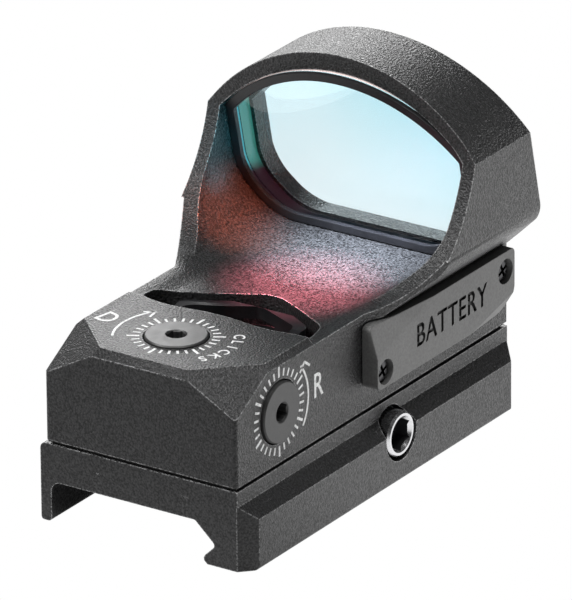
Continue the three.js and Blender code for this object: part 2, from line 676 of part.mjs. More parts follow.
const topFace = DECK_Z + TOP_PROUD;
const sideFace = BODY_HALF + SIDE_PROUD;
const topClip = BAY.ceiling - EASE;
const sideClip = BAY.x1 - EASE;
const { x: topX, y: topY } = TOP_DIAL;
const { y: sideY, z: sideZ } = SIDE_DIAL;
part("elevation_screw", adjuster("z", topFace, TOP_BORE_FLOOR, BAY.ceiling, 5.9, topX, topY), "dial");
part("windage_screw", adjuster("x", sideFace, SIDE_BORE_FLOOR, BAY.x1, 3.2, sideY, sideZ), "dial");
part("elevation_clip", clip("z", topClip, topX, topY), "blackSteel");
part("windage_clip", clip("x", sideClip, sideY, sideZ), "blackSteel");
part("elevation_o_ring", sealRing("z", topFace - 2.25, topX, topY), "rubber");
part("windage_o_ring", sealRing("x", sideFace - 2.25, sideY, sideZ), "rubber");
part("elevation_detent_ball", ball(topX - 3.1, topY, TOP_BORE_FLOOR - 0.15, 0.45), "steel");
part("windage_detent_ball", ball(SIDE_BORE_FLOOR - 0.15, sideY - 3.1, sideZ, 0.45), "steel");

part("elevation_yoke", elevationYoke(), "brass");
part("emitter_carrier", emitterCarrier(), "blackPlastic");
part("emitter_led", led(), "red");
part("elevation_spring", spring("z", 1.2, 0.2, 3, 9.1, 13.2, -6.2, -20.6), "steel");
part("windage_spring", spring("x", 1.1, 0.2, 3, -9.3, -5.5, -11.9, 10.45), "steel");
part("emitter_shroud", emitterShroud(), "blackPlastic");

part("battery_tray", batteryTray(), "blackPlastic");
part("battery_cover", batteryCover(), "cover");
part("battery_seal", traySeal(), "rubber");
part("coin_cell", coinCell(), "steel");
TRAY_SCREWS.forEach(({ name, y, z }) => part(name, crossScrew(y, z), "blackSteel"));
part("contact_negative", negativeContact(), "brass");
part("contact_positive", positiveContact(), "brass");

part("circuit_board", block(-11, 10, -3.6, 24.2, 6.2, 7.2), "board");
part("button_board", block(-11.2, -10.6, 3.4, 21.1, 9.9, 14.8), "board");
BUTTONS.forEach(({ name, y }) => {
  part(name, rubberButton(y), "rubber");
  part(`${name}_switch`, block(-11.95, -11.3, y - 1.6, y + 1.6, 10.8, 13.6), "blackSteel");
});

export default sight;
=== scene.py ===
"""The looks of a red dot finder: a mini reflex sight with a tilted lens on a cross-bolt rail base.

Every piece is shaped in millimetres with bmesh operators, then scaled into the frame's metres.
X is the user's right, Y runs towards the target and Z is up; the origin is the rail seat.
"""

import json
import logging
import math
from dataclasses import dataclass, field
from enum import Enum
from typing import Callable, Iterable, Optional, Sequence

import bmesh
import bpy
from mathutils import Matrix, Vector


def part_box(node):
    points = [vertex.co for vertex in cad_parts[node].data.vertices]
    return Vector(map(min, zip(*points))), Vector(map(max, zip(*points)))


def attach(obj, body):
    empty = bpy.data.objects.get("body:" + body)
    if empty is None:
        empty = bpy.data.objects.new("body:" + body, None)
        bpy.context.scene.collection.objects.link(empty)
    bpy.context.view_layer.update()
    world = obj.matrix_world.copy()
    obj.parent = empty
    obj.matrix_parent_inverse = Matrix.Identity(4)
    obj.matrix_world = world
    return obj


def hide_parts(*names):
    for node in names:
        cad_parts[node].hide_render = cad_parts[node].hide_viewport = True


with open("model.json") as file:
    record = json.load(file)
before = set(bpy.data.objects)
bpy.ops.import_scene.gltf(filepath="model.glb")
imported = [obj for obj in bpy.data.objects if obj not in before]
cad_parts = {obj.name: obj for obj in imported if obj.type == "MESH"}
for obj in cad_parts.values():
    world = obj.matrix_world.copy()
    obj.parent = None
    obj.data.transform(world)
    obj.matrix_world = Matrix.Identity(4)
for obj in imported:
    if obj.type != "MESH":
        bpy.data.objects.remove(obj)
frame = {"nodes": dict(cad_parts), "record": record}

MM = 0.001
BODY = "sight_body"
log = logging.getLogger("finder")

Point2 = tuple[float, float]
Span = tuple[float, float]
Colour = tuple[float, float, float]


class Axis(Enum):
    """The direction an outline is extruded along, or a bar runs along."""

    X = 0
    Y = 1
    Z = 2


# --------------------------------------------------------------------------- shaping helpers


def lift(axis: Axis, u: float, v: float, along: float) -> Vector:
    """Places an outline's point in space.

    Args:
        axis: the direction the outline faces.
        u: the first of the other two axes, in X, Y, Z order.
        v: the second of the other two axes.
        along: the place along the axis.

    Returns:
        The point, in millimetres.
    """
    if axis is Axis.X:
        return Vector((along, u, v))
    if axis is Axis.Y:
        return Vector((u, along, v))
    return Vector((u, v, along))


class Outline:
    """A closed flat outline, drawn point by point, with arcs made by spinning its last point."""

    def __init__(self, axis: Axis, u: float, v: float) -> None:
        """Starts the outline at (u, v)."""
        self.axis = axis
        self.bm = bmesh.new()
        self.first = self.bm.verts.new(lift(axis, u, v, 0.0))
        self.last = self.first

    def line(self, u: float, v: float) -> "Outline":
        """Draws a straight edge to (u, v)."""
        point = self.bm.verts.new(lift(self.axis, u, v, 0.0))
        self.bm.edges.new((self.last, point))
        self.last = point
        return self

    def lines(self, points: Iterable[Point2]) -> "Outline":
        """Draws straight edges through several points."""
        for u, v in points:
            self.line(u, v)
        return self

    def arc(self, u: float, v: float, degrees: float, steps: int = 12) -> "Outline":
        """Turns the last point about the centre (u, v); positive turns u towards v."""
        turn = -1.0 if self.axis is Axis.Y else 1.0
        spun = bmesh.ops.spin(
            self.bm,
            geom=[self.last],
            cent=lift(self.axis, u, v, 0.0),
            axis=lift(self.axis, 0.0, 0.0, 1.0),
            angle=math.radians(degrees) * turn,
            steps=steps,
            use_duplicate=False,
        )
        self.last = [part for part in spun["geom_last"] if isinstance(part, bmesh.types.BMVert)][0]
        return self

    def close(self, rounding: float = 0.0, segments: int = 5) -> bmesh.types.BMesh:
        """Closes the outline into one face.

        Args:
            rounding: how far every corner is rounded off, or 0 for sharp corners.
            segments: the steps in each rounded corner.

        Returns:
            The bmesh with the face.
        """
        if (self.last.co - self.first.co).length > 1e-4:
            self.bm.edges.new((self.last, self.first))
        bmesh.ops.remove_doubles(self.bm, verts=self.bm.verts[:], dist=1e-4)
        bmesh.ops.contextual_create(self.bm, geom=self.bm.edges[:])
        if rounding > 0.0:
            bmesh.ops.bevel(
                self.bm,
                geom=self.bm.verts[:],
                offset=rounding,
                segments=segments,
                profile=0.5,
                affect="VERTICES",
                clamp_overlap=True,
                material=-1,
            )
        return self.bm


def extruded(bm: bmesh.types.BMesh, axis: Axis, span: Span) -> bmesh.types.BMesh:
    """Extrudes a flat bmesh between two places along an axis.

    Args:
        bm: the flat faces, lying at 0 along the axis.
        axis: the direction to extrude in.
        span: the first and last place along the axis.

    Returns:
        The same bmesh, now a closed solid with its faces pointing out.
    """
    start, end = span
    bmesh.ops.translate(bm, verts=bm.verts[:], vec=lift(axis, 0.0, 0.0, start))
    grown = bmesh.ops.extrude_face_region(bm, geom=bm.faces[:])
    moved = [part for part in grown["geom"] if isinstance(part, bmesh.types.BMVert)]
    bmesh.ops.translate(bm, verts=moved, vec=lift(axis, 0.0, 0.0, end - start))
    bmesh.ops.recalc_face_normals(bm, faces=bm.faces[:])
    return bm


def soften_corners(bm: bmesh.types.BMesh, corners: list[bmesh.types.BMVert], radius: float) -> None:
    """Rounds chosen corners of a flat outline."""
    bmesh.ops.bevel(
        bm,
        geom=corners,
        offset=radius,
        segments=8,
        profile=0.5,
        affect="VERTICES",
        material=-1,
    )


def facet(bm: bmesh.types.BMesh, point: Vector, normal: Vector) -> None:
    """Planes a flat facet off a closed solid; the normal points to what is taken away."""
    cut = bmesh.ops.bisect_plane(
        bm,
        geom=bm.verts[:] + bm.edges[:] + bm.faces[:],
        plane_co=point,
        plane_no=normal,
        clear_outer=True,
    )
    rim = [part for part in cut["geom_cut"] if isinstance(part, bmesh.types.BMEdge)]
    bmesh.ops.contextual_create(bm, geom=rim)
    bmesh.ops.recalc_face_normals(bm, faces=bm.faces[:])


def block(x: Span, y: Span, z: Span) -> bmesh.types.BMesh:
    """Makes a box from its spans along X, Y and Z."""
    bm = bmesh.new()
    bmesh.ops.create_cube(bm, size=1.0)
    size = Vector((x[1] - x[0], y[1] - y[0], z[1] - z[0]))
    centre = Vector(((x[0] + x[1]) / 2, (y[0] + y[1]) / 2, (z[0] + z[1]) / 2))
    bmesh.ops.scale(bm, vec=size, verts=bm.verts[:])
    bmesh.ops.translate(bm, vec=centre, verts=bm.verts[:])
    return bm


FACING = {
    Axis.X: Matrix(((0, 0, 1), (1, 0, 0), (0, 1, 0))).to_4x4(),
    Axis.Y: Matrix(((-1, 0, 0), (0, 0, 1), (0, 1, 0))).to_4x4(),
    Axis.Z: Matrix.Identity(4),
}


def bar(axis: Axis, radius: float, span: Span, u: float, v: float, sides: int = 48) -> bmesh.types.BMesh:
    """Makes a round or many-sided bar along an axis.

    Args:
        axis: the direction the bar runs in.
        radius: its radius to the corners.
        span: where it starts and ends along the axis.
        u: its centre on the first other axis.
        v: its centre on the second other axis.
        sides: how many sides it has.

    Returns:
        A bmesh with the closed bar.
    """
    bm = bmesh.new()
    bmesh.ops.create_cone(
        bm,
        cap_ends=True,
        segments=sides,
        radius1=radius,
        radius2=radius,
        depth=span[1] - span[0],
    )
    bmesh.ops.transform(bm, matrix=FACING[axis], verts=bm.verts[:])
    bmesh.ops.translate(bm, vec=lift(axis, u, v, (span[0] + span[1]) / 2), verts=bm.verts[:])
    return bm


def turned(axis: Axis, profile: Sequence[Point2], u: float, v: float, steps: int = 64) -> bmesh.types.BMesh:
    """Turns a profile on a lathe.

    Args:
        axis: the lathe's axis.
        profile: (radius, place along the axis) pairs, from the axis and back to it.
        u: the axis's place on the first other axis.
        v: the axis's place on the second other axis.
        steps: how many steps the full turn has.

    Returns:
        A bmesh with the closed turned solid.
    """
    bm = bmesh.new()
    ring = [bm.verts.new((radius, 0.0, along)) for radius, along in profile]
    for a, b in zip(ring, ring[1:]):
        bm.edges.new((a, b))
    bmesh.ops.spin(
        bm,
        geom=bm.verts[:] + bm.edges[:],
        cent=(0.0, 0.0, 0.0),
        axis=(0.0, 0.0, 1.0),
        angle=math.tau,
        steps=steps,
        use_merge=True,
        use_duplicate=False,
    )
    bmesh.ops.remove_doubles(bm, verts=bm.verts[:], dist=1e-4)
    bmesh.ops.recalc_face_normals(bm, faces=bm.faces[:])
    bmesh.ops.transform(bm, matrix=FACING[axis], verts=bm.verts[:])
    bmesh.ops.translate(bm, vec=lift(axis, u, v, 0.0), verts=bm.verts[:])
    bmesh.ops.recalc_face_normals(bm, faces=bm.faces[:])
    return bm


def joined(parts: Iterable[bmesh.types.BMesh]) -> bmesh.types.BMesh:
    """Puts several separate bmeshes into one, without cutting them."""
    whole = bmesh.new()
    for part in parts:
        mesh = bpy.data.meshes.new("scratch")
        part.to_mesh(mesh)
        part.free()
        whole.from_mesh(mesh)
        bpy.data.meshes.remove(mesh)
    return whole


class Stock:
    """A piece of stock on the bench: a scratch object that is cut, joined and rounded, in millimetres."""

    def __init__(self, bm: bmesh.types.BMesh) -> None:
        """Takes the bmesh over as a scratch object."""
        mesh = bpy.data.meshes.new("stock")
        bm.to_mesh(mesh)
        bm.free()
        self.obj = bpy.data.objects.new("stock", mesh)
        bpy.context.scene.collection.objects.link(self.obj)

    def combine(self, operation: str, tool: bmesh.types.BMesh) -> "Stock":
        """Cuts, joins or intersects with a tool, and throws the tool away."""
        other = Stock(tool)
        step = self.obj.modifiers.new("step", "BOOLEAN")
        step.operation = operation
        step.solver = "EXACT"
        step.object = other.obj
        self.settle()
        bpy.data.objects.remove(other.obj)
        return self

    def cut(self, *tools: bmesh.types.BMesh) -> "Stock":
        """Cuts each tool out."""
        for tool in tools:
            self.combine("DIFFERENCE", tool)
        return self

    def join(self, *tools: bmesh.types.BMesh) -> "Stock":
        """Adds each tool's solid."""
        for tool in tools:
            self.combine("UNION", tool)
        return self

    def keep(self, tool: bmesh.types.BMesh) -> "Stock":
        """Keeps only what is inside the tool."""
        return self.combine("INTERSECT", tool)

    def taken(self) -> bmesh.types.BMesh:
        """Takes the shape back off the bench as a bmesh."""
        bm = bmesh.new()
        bm.from_mesh(self.obj.data)
        bpy.data.objects.remove(self.obj)
        return bm

    def settle(self) -> None:
        """Applies the modifiers to the mesh."""
        graph = bpy.context.evaluated_depsgraph_get()
        graph.update()
        mesh = bpy.data.meshes.new_from_object(self.obj.evaluated_get(graph))
        old = self.obj.data
        self.obj.modifiers.clear()
        self.obj.data = mesh
        bpy.data.meshes.remove(old)

    def clean(self, degrees: float = 1.0) -> "Stock":
        """Merges faces that lie in one plane and points that fall together."""
        bm = bmesh.new()
        bm.from_mesh(self.obj.data)
        bmesh.ops.remove_doubles(bm, verts=bm.verts[:], dist=0.004)
        bmesh.ops.dissolve_limit(
            bm,
            angle_limit=math.radians(degrees),
            verts=bm.verts[:],
            edges=bm.edges[:],
        )
        bm.to_mesh(self.obj.data)
        bm.free()
        return self

    def round_edges(self, width: float, segments: int = 2, degrees: float = 32.0) -> "Stock":
        """Rounds every edge sharper than an angle."""
        step = self.obj.modifiers.new("rounding", "BEVEL")
        step.width = width
        step.segments = segments
        step.limit_method = "ANGLE"
        step.angle_limit = math.radians(degrees)
        step.use_clamp_overlap = True
        step.miter_outer = "MITER_ARC"
        even = self.obj.modifiers.new("shading", "WEIGHTED_NORMAL")
        even.weight = 60
        even.keep_sharp = True
        for face in self.obj.data.polygons:
            face.use_smooth = True
        self.settle()
        return self

    def even(self, degrees: float) -> "Stock":
        """Shades each flat evenly, with every edge above an angle left crisp."""
        self.obj.data.set_sharp_from_angle(angle=math.radians(degrees))
        step = self.obj.modifiers.new("shading", "WEIGHTED_NORMAL")
        step.weight = 60
        step.keep_sharp = True
        self.settle()
        return self

    def finished(self, name: str, smooth_degrees: float = 38.0) -> bpy.types.Object:
        """Scales the stock into the frame and names it.

        Args:
            name: the piece's name.
            smooth_degrees: edges below this angle are shaded smooth.

        Returns:
            The finished object, at the origin, with its place in its mesh.
        """
        self.obj.name = name
        mesh = self.obj.data
        mesh.name = name
        mesh.transform(Matrix.Scale(MM, 4))
        for face in mesh.polygons:
            face.use_smooth = True
        mesh.set_sharp_from_angle(angle=math.radians(smooth_degrees))
        return self.obj


def lettering(text: str, size: float, thickness: float, spacing: float = 1.0,
              weight: float = 0.0) -> bmesh.types.BMesh:
    """Makes raised lettering, flat in X and Y and centred on the origin.

    Args:
        text: the letters.
        size: the font size in millimetres.
        thickness: half the lettering's depth along Z.
        spacing: the factor between letters.
        weight: how much each stroke is thickened, in millimetres a side.

    Returns:
        A bmesh of closed letters.
    """
    curve = bpy.data.curves.new("lettering", "FONT")
    curve.body = text
    curve.size = size
    curve.extrude = thickness
    curve.offset = weight
    curve.space_character = spacing
    curve.align_x = "CENTER"
    curve.align_y = "CENTER"
    curve.resolution_u = 4
    obj = bpy.data.objects.new("lettering", curve)
    bpy.context.scene.collection.objects.link(obj)
    graph = bpy.context.evaluated_depsgraph_get()
    graph.update()
    mesh = bpy.data.meshes.new_from_object(obj.evaluated_get(graph))
    bm = bmesh.new()
    bm.from_mesh(mesh)
    bmesh.ops.remove_doubles(bm, verts=bm.verts[:], dist=1e-4)
    bmesh.ops.recalc_face_normals(bm, faces=bm.faces[:])
    bpy.data.objects.remove(obj)
    bpy.data.curves.remove(curve)
    bpy.data.meshes.remove(mesh)
    return bm


# --------------------------------------------------------------------------- finishes


class Recipe:
    """A material being mixed: its node tree and the short calls that fill it."""

    def __init__(self, name: str) -> None:
        """Starts a material with one Principled shader."""
        self.material = bpy.data.materials.new(name)
        self.material.use_nodes = True
        self.tree = self.material.node_tree
        self.shader = self.tree.nodes["Principled BSDF"]
        self.coords = self.tree.nodes.new("ShaderNodeTexCoord").outputs["Object"]

    def link(self, out: bpy.types.NodeSocket, into: bpy.types.NodeSocket) -> None:
        """Joins two sockets."""
        self.tree.links.new(out, into)

    def set(self, **values: object) -> None:
        """Sets the shader's own sockets; underscores stand for spaces."""
        for key, value in values.items():
            self.shader.inputs[key.replace("_", " ")].default_value = value

    def noise(self, scale: float, detail: float = 2.0, rough: float = 0.5,
              coords: Optional[bpy.types.NodeSocket] = None) -> bpy.types.NodeSocket:
        """Adds a noise pattern; scale is in cycles per metre."""
        node = self.tree.nodes.new("ShaderNodeTexNoise")
        node.inputs["Scale"].default_value = scale
        node.inputs["Detail"].default_value = detail
        node.inputs["Roughness"].default_value = rough
        self.link(coords or self.coords, node.inputs["Vector"])
        return node.outputs["Fac"]

    def remap(self, value: bpy.types.NodeSocket, source: Span, target: Span) -> bpy.types.NodeSocket:
        """Stretches a value from one range to another, clamped."""
        node = self.tree.nodes.new("ShaderNodeMapRange")
        self.link(value, node.inputs[0])
        for slot, number in zip((1, 2, 3, 4), (*source, *target)):
            node.inputs[slot].default_value = number
        return node.outputs[0]

    def maths(self, operation: str, a: bpy.types.NodeSocket, b: object) -> bpy.types.NodeSocket:
        """Adds a Math node on a value and a value or number."""
        node = self.tree.nodes.new("ShaderNodeMath")
        node.operation = operation
        node.use_clamp = operation in ("ADD", "MULTIPLY")
        self.link(a, node.inputs[0])
        if isinstance(b, (int, float)):
            node.inputs[1].default_value = b
        else:
            self.link(b, node.inputs[1])
        return node.outputs[0]

    def mix(self, share: bpy.types.NodeSocket, a: object, b: object) -> bpy.types.NodeSocket:
        """Mixes two colours; each is a socket or an RGB triple."""
        node = self.tree.nodes.new("ShaderNodeMix")
        node.data_type = "RGBA"
        self.link(share, node.inputs[0])
        for slot, colour in ((6, a), (7, b)):
            if isinstance(colour, tuple):
                node.inputs[slot].default_value = (*colour, 1.0)
            else:
                self.link(colour, node.inputs[slot])
        return node.outputs[2]

    def blend(self, share: bpy.types.NodeSocket, a: object, b: object) -> bpy.types.NodeSocket:
        """Blends two values; each is a socket or a number."""
        node = self.tree.nodes.new("ShaderNodeMix")
        self.link(share, node.inputs[0])
        for slot, value in ((2, a), (3, b)):
            if isinstance(value, float):
                node.inputs[slot].default_value = value
            else:
                self.link(value, node.inputs[slot])
        return node.outputs[0]

    def beyond(self, axis: int, start: float, end: float) -> bpy.types.NodeSocket:
        """Gives a value that rises from 0 to 1 on both sides of the middle, in millimetres along an axis."""
        split = self.tree.nodes.new("ShaderNodeSeparateXYZ")
        self.link(self.coords, split.inputs[0])
        distance = self.maths("ABSOLUTE", split.outputs[axis], 0.0)
        return self.remap(distance, (start * MM, end * MM), (0.0, 1.0))

    def bump(self, height: bpy.types.NodeSocket, strength: float, depth: float) -> None:
        """Drives the shader's normal from a height; depth is in metres."""
        node = self.tree.nodes.new("ShaderNodeBump")
        node.inputs["Strength"].default_value = strength
        node.inputs["Distance"].default_value = depth
        self.link(height, node.inputs["Height"])
        self.link(node.outputs["Normal"], self.shader.inputs["Normal"])

    def edges(self, radius: float) -> bpy.types.NodeSocket:
        """Gives a mask that is 1 on rounded and sharp edges and 0 on flats."""
        soft = self.tree.nodes.new("ShaderNodeBevel")
        soft.samples = 6
        soft.inputs["Radius"].default_value = radius
        flat = self.tree.nodes.new("ShaderNodeNewGeometry")
        dot = self.tree.nodes.new("ShaderNodeVectorMath")
        dot.operation = "DOT_PRODUCT"
        self.link(soft.outputs[0], dot.inputs[0])
        self.link(flat.outputs["Normal"], dot.inputs[1])
        return self.remap(dot.outputs["Value"], (0.995, 0.93), (0.0, 1.0))

    def gradient(self, axis: int, start: float, end: float) -> bpy.types.NodeSocket:
        """Gives a value that rises from 0 to 1 between two places along an axis, in millimetres."""
        split = self.tree.nodes.new("ShaderNodeSeparateXYZ")
        self.link(self.coords, split.inputs[0])
        return self.remap(split.outputs[axis], (start * MM, end * MM), (0.0, 1.0))


@dataclass(frozen=True)
class BlastedMetal:
    """Bead-blasted, black anodised metal: a fine leathery grain, and edges painted bright, partly as wear and
    partly as a painted highlight.
    """

    name: str
    dark: Colour = (0.005, 0.005, 0.0052)
    light: Colour = (0.044, 0.044, 0.045)
    grain: float = 3800.0
    roughness: float = 0.38
    relief: float = 1.0
    wear_and_glint_peak: float = 0.9
    wear_and_glint: Colour = (0.42, 0.42, 0.425)
    wear_and_glint_reach: float = 0.00024
    pit_depth: float = 0.00017

    def mixed(self) -> bpy.types.Material:
        """Mixes the material."""
        recipe = Recipe(self.name)
        fine = recipe.noise(self.grain, 1.5, 0.6)
        flake = recipe.remap(fine, (0.35, 0.68), (0.0, 1.0))
        body = recipe.mix(flake, self.dark, self.light)
        # bright edges: partly real wear, partly a painted highlight where light catches the rounded edges
        speckle = recipe.remap(fine, (0.38, 0.6), (0.05, self.wear_and_glint_peak))
        wear_and_glint = recipe.maths("MULTIPLY", recipe.edges(self.wear_and_glint_reach), speckle)
        recipe.link(recipe.mix(wear_and_glint, body, self.wear_and_glint), recipe.shader.inputs["Base Color"])
        rough = recipe.remap(fine, (0.35, 0.68), (self.roughness + 0.10, self.roughness - 0.08))
        recipe.link(rough, recipe.shader.inputs["Roughness"])
        recipe.bump(fine, self.relief, self.pit_depth)
        return recipe.material


@dataclass(frozen=True)
class MouldedPlastic:
    """Moulded plastic or rubber with a fine grain and soft mottling."""

    name: str
    dark: Colour
    light: Colour
    roughness: float = 0.5
    grain: float = 3500.0
    relief: float = 0.15

    def mixed(self) -> bpy.types.Material:
        """Mixes the material."""
        recipe = Recipe(self.name)
        grain = recipe.noise(self.grain, 3.0, 0.6)
        mottle = recipe.noise(220.0, 2.0, 0.5)
        tone = recipe.maths("ADD", recipe.maths("MULTIPLY", grain, 0.6),
                            recipe.maths("MULTIPLY", mottle, 0.4))
        spread = recipe.remap(tone, (0.35, 0.65), (0.0, 1.0))
        recipe.link(recipe.mix(spread, self.dark, self.light), recipe.shader.inputs["Base Color"])
        rough = recipe.remap(mottle, (0.3, 0.7), (self.roughness - 0.05, self.roughness + 0.05))
        recipe.link(rough, recipe.shader.inputs["Roughness"])
        recipe.bump(grain, self.relief, 0.00004)
        return recipe.material


@dataclass(frozen=True)
class TurnedMetal:
    """Metal faced on a lathe: fine rings round a centre, with a satin sheen."""

    name: str
    axis: Axis
    centre: Point2
    dark: Colour = (0.02, 0.02, 0.02)
    light: Colour = (0.13, 0.13, 0.13)
    roughness: float = 0.44
    metallic: float = 0.6

    def mixed(self) -> bpy.types.Material:
        """Mixes the material."""
        recipe = Recipe(self.name)
        mapping = recipe.tree.nodes.new("ShaderNodeMapping")
        place = -lift(self.axis, *self.centre, 0.0) * MM
        mapping.inputs["Location"].default_value = place
        recipe.link(recipe.coords, mapping.inputs["Vector"])
        rings = recipe.tree.nodes.new("ShaderNodeTexWave")
        rings.wave_type = "RINGS"
        rings.rings_direction = self.axis.name
        rings.inputs["Scale"].default_value = 2600.0
        rings.inputs["Distortion"].default_value = 0.6
        rings.inputs["Detail Scale"].default_value = 400.0
        recipe.link(mapping.outputs["Vector"], rings.inputs["Vector"])
        smear = recipe.noise(900.0, 3.0, 0.6)
        tone = recipe.maths("ADD", recipe.maths("MULTIPLY", rings.outputs["Fac"], 0.35),
                            recipe.maths("MULTIPLY", smear, 0.65))
        recipe.link(recipe.mix(tone, self.dark, self.light), recipe.shader.inputs["Base Color"])
        recipe.set(Metallic=self.metallic)
        rough = recipe.remap(smear, (0.3, 0.7), (self.roughness - 0.05, self.roughness + 0.07))
        recipe.link(rough, recipe.shader.inputs["Roughness"])
        recipe.bump(rings.outputs["Fac"], 0.2, 0.00001)
        return recipe.material


@dataclass(frozen=True)
class PlainMetal:
    """Bright or blackened metal with fine scratches."""

    name: str
    dark: Colour
    light: Colour
    roughness: float = 0.25
    metallic: float = 1.0

    def mixed(self) -> bpy.types.Material:
        """Mixes the material."""
        recipe = Recipe(self.name)
        stretch = recipe.tree.nodes.new("ShaderNodeMapping")
        stretch.inputs["Scale"].default_value = (0.15, 1.0, 1.0)
        recipe.link(recipe.coords, stretch.inputs["Vector"])
        scratch = recipe.noise(3000.0, 3.0, 0.6, stretch.outputs["Vector"])
        recipe.link(recipe.mix(scratch, self.dark, self.light), recipe.shader.inputs["Base Color"])
        recipe.set(Metallic=self.metallic)
        rough = recipe.remap(scratch, (0.3, 0.7), (self.roughness - 0.06, self.roughness + 0.08))
        recipe.link(rough, recipe.shader.inputs["Roughness"])
        recipe.bump(scratch, 0.1, 0.00001)
        return recipe.material


@dataclass(frozen=True)
class PrintedPaint:
    """Thin white printed marks with slightly broken coverage."""

    name: str = "printed_white"

    def mixed(self) -> bpy.types.Material:
        """Mixes the material."""
        recipe = Recipe(self.name)
        broken = recipe.remap(recipe.noise(2600.0, 2.0, 0.6), (0.3, 0.6), (0.0, 1.0))
        tone = recipe.mix(broken, (0.6, 0.6, 0.6), (0.92, 0.92, 0.92))
        recipe.link(tone, recipe.shader.inputs["Base Color"])
        recipe.set(Roughness=0.6)
        return recipe.material


@dataclass(frozen=True)
class CoatedGlass:
    """Coated lens glass: clear and pale blue, deeper towards the top."""

    name: str
    high: Colour = (0.62, 0.90, 0.97)
    low: Colour = (0.93, 0.985, 1.0)

    def mixed(self) -> bpy.types.Material:
        """Mixes the material."""
        recipe = Recipe(self.name)
        height = recipe.gradient(2, 18.0, 40.0)
        side = recipe.gradient(0, -6.0, 16.0)
        share = recipe.maths("MULTIPLY", height, recipe.remap(side, (0.0, 1.0), (0.35, 1.0)))
        haze = recipe.maths("ADD", share, recipe.remap(recipe.noise(70.0), (0.3, 0.7), (0.0, 0.06)))
        recipe.link(recipe.mix(haze, self.low, self.high), recipe.shader.inputs["Base Color"])
        recipe.set(Roughness=0.0, IOR=1.5, Transmission_Weight=1.0)
        return recipe.material


@dataclass(frozen=True)
class PaintedRimReflection:
    """A lens's rim, painted with the reflections seen through the glass: wine at the foot, bright at the
    side, a pinkish-white painted highlight at the top, and a painted glow in the same colours.
    """

    name: str
    side: Colour
    foot: Colour = (0.030, 0.005, 0.012)
    floor: Colour = (0.003, 0.007, 0.012)
    # top is a painted highlight; side, foot and floor are painted reflections seen through the glass
    top: Colour = (0.75, 0.62, 0.60)
    glow: float = 0.6

    def mixed(self) -> bpy.types.Material:
        """Mixes the material."""
        recipe = Recipe(self.name)
        foot = recipe.mix(recipe.gradient(0, -9.0, -12.5), self.floor, self.foot)
        sides = recipe.mix(recipe.gradient(2, 22.2, 23.4), foot, self.side)
        colour = recipe.mix(recipe.gradient(2, 31.5, 34.0), sides, self.top)
        recipe.link(colour, recipe.shader.inputs["Base Color"])
        # the rim also glows in its own colours: a painted glow
        recipe.link(colour, recipe.shader.inputs["Emission Color"])
        recipe.set(Roughness=0.35, Emission_Strength=self.glow)
        return recipe.material


class Finishes:
    """All the finishes, mixed once and shared by the pieces."""

    def __init__(self) -> None:
        """Mixes every material."""
        self.body = BlastedMetal("blasted_housing").mixed()
        self.base = BlastedMetal("blasted_base", relief=0.6).mixed()
        self.cover = MouldedPlastic(
            "cover_grey", (0.085, 0.085, 0.084), (0.15, 0.15, 0.148), roughness=0.5, relief=0.12,
        ).mixed()
        self.engraving = MouldedPlastic(
            "engraving_dark", (0.012, 0.012, 0.012), (0.03, 0.03, 0.03),
        ).mixed()
        self.black = MouldedPlastic(
            "black_plastic", (0.006, 0.006, 0.007), (0.016, 0.016, 0.018), 0.38,
        ).mixed()
        self.rubber = MouldedPlastic(
            "rubber_black", (0.006, 0.006, 0.006), (0.014, 0.014, 0.014), 0.75,
        ).mixed()
        self.steel = PlainMetal("bright_steel", (0.45, 0.45, 0.46), (0.72, 0.72, 0.73), 0.24).mixed()
        self.blackened = PlainMetal("black_steel", (0.03, 0.03, 0.032), (0.09, 0.09, 0.094), 0.3).mixed()
        self.brass = PlainMetal("brass", (0.45, 0.30, 0.12), (0.62, 0.45, 0.2), 0.3).mixed()
        self.pale = PlainMetal("pale_plate", (0.30, 0.30, 0.30), (0.42, 0.42, 0.42), 0.45, 0.5).mixed()
        self.board = MouldedPlastic(
            "board_green", (0.01, 0.07, 0.03), (0.02, 0.11, 0.05), 0.35, 900.0,
        ).mixed()
        self.led = MouldedPlastic("led_red", (0.45, 0.02, 0.015), (0.6, 0.04, 0.03), 0.2, 500.0).mixed()
        self.glass = CoatedGlass("lens_glass").mixed()
        # lens rims: painted reflections, painted highlight and painted glow
        self.rim_reflections = {
            "lens_inner": PaintedRimReflection("rim_cyan", (0.06, 0.42, 0.50)).mixed(),
            "lens_outer": PaintedRimReflection("rim_green", (0.035, 0.24, 0.19)).mixed(),
        }
        self.dial_top = TurnedMetal("dial_top_turned", Axis.Z, TOP_DIAL).mixed()
        self.dial_side = TurnedMetal("dial_side_turned", Axis.X, SIDE_DIAL).mixed()
        self.print = PrintedPaint().mixed()


# --------------------------------------------------------------------------- driving sizes

HALF_LENGTH = 29.4
BODY_HALF = 13.5
SEAM = 5.3
DECK = 18.4
RIM = 17.6
FLOOR = 17.2
DECK_END = -12.9
LEAN = math.tan(math.radians(13.0))
TOP_DIAL = (-0.5, -20.9)
SIDE_DIAL = (-20.3, 11.8)
REAR_SCREW = (-1.05, 10.4)
FRONT_SCREW = (25.4, 13.85)
BUTTONS = (("up", 17.5), ("down", 7.0))
BUTTON_Z = 12.2
BASE_SCREWS = ((-6.2, -26.9), (6.2, -26.9), (-6.2, 26.6), (6.2, 26.6))
DOWELS = ((10.6, -26.9), (-10.6, 26.6))


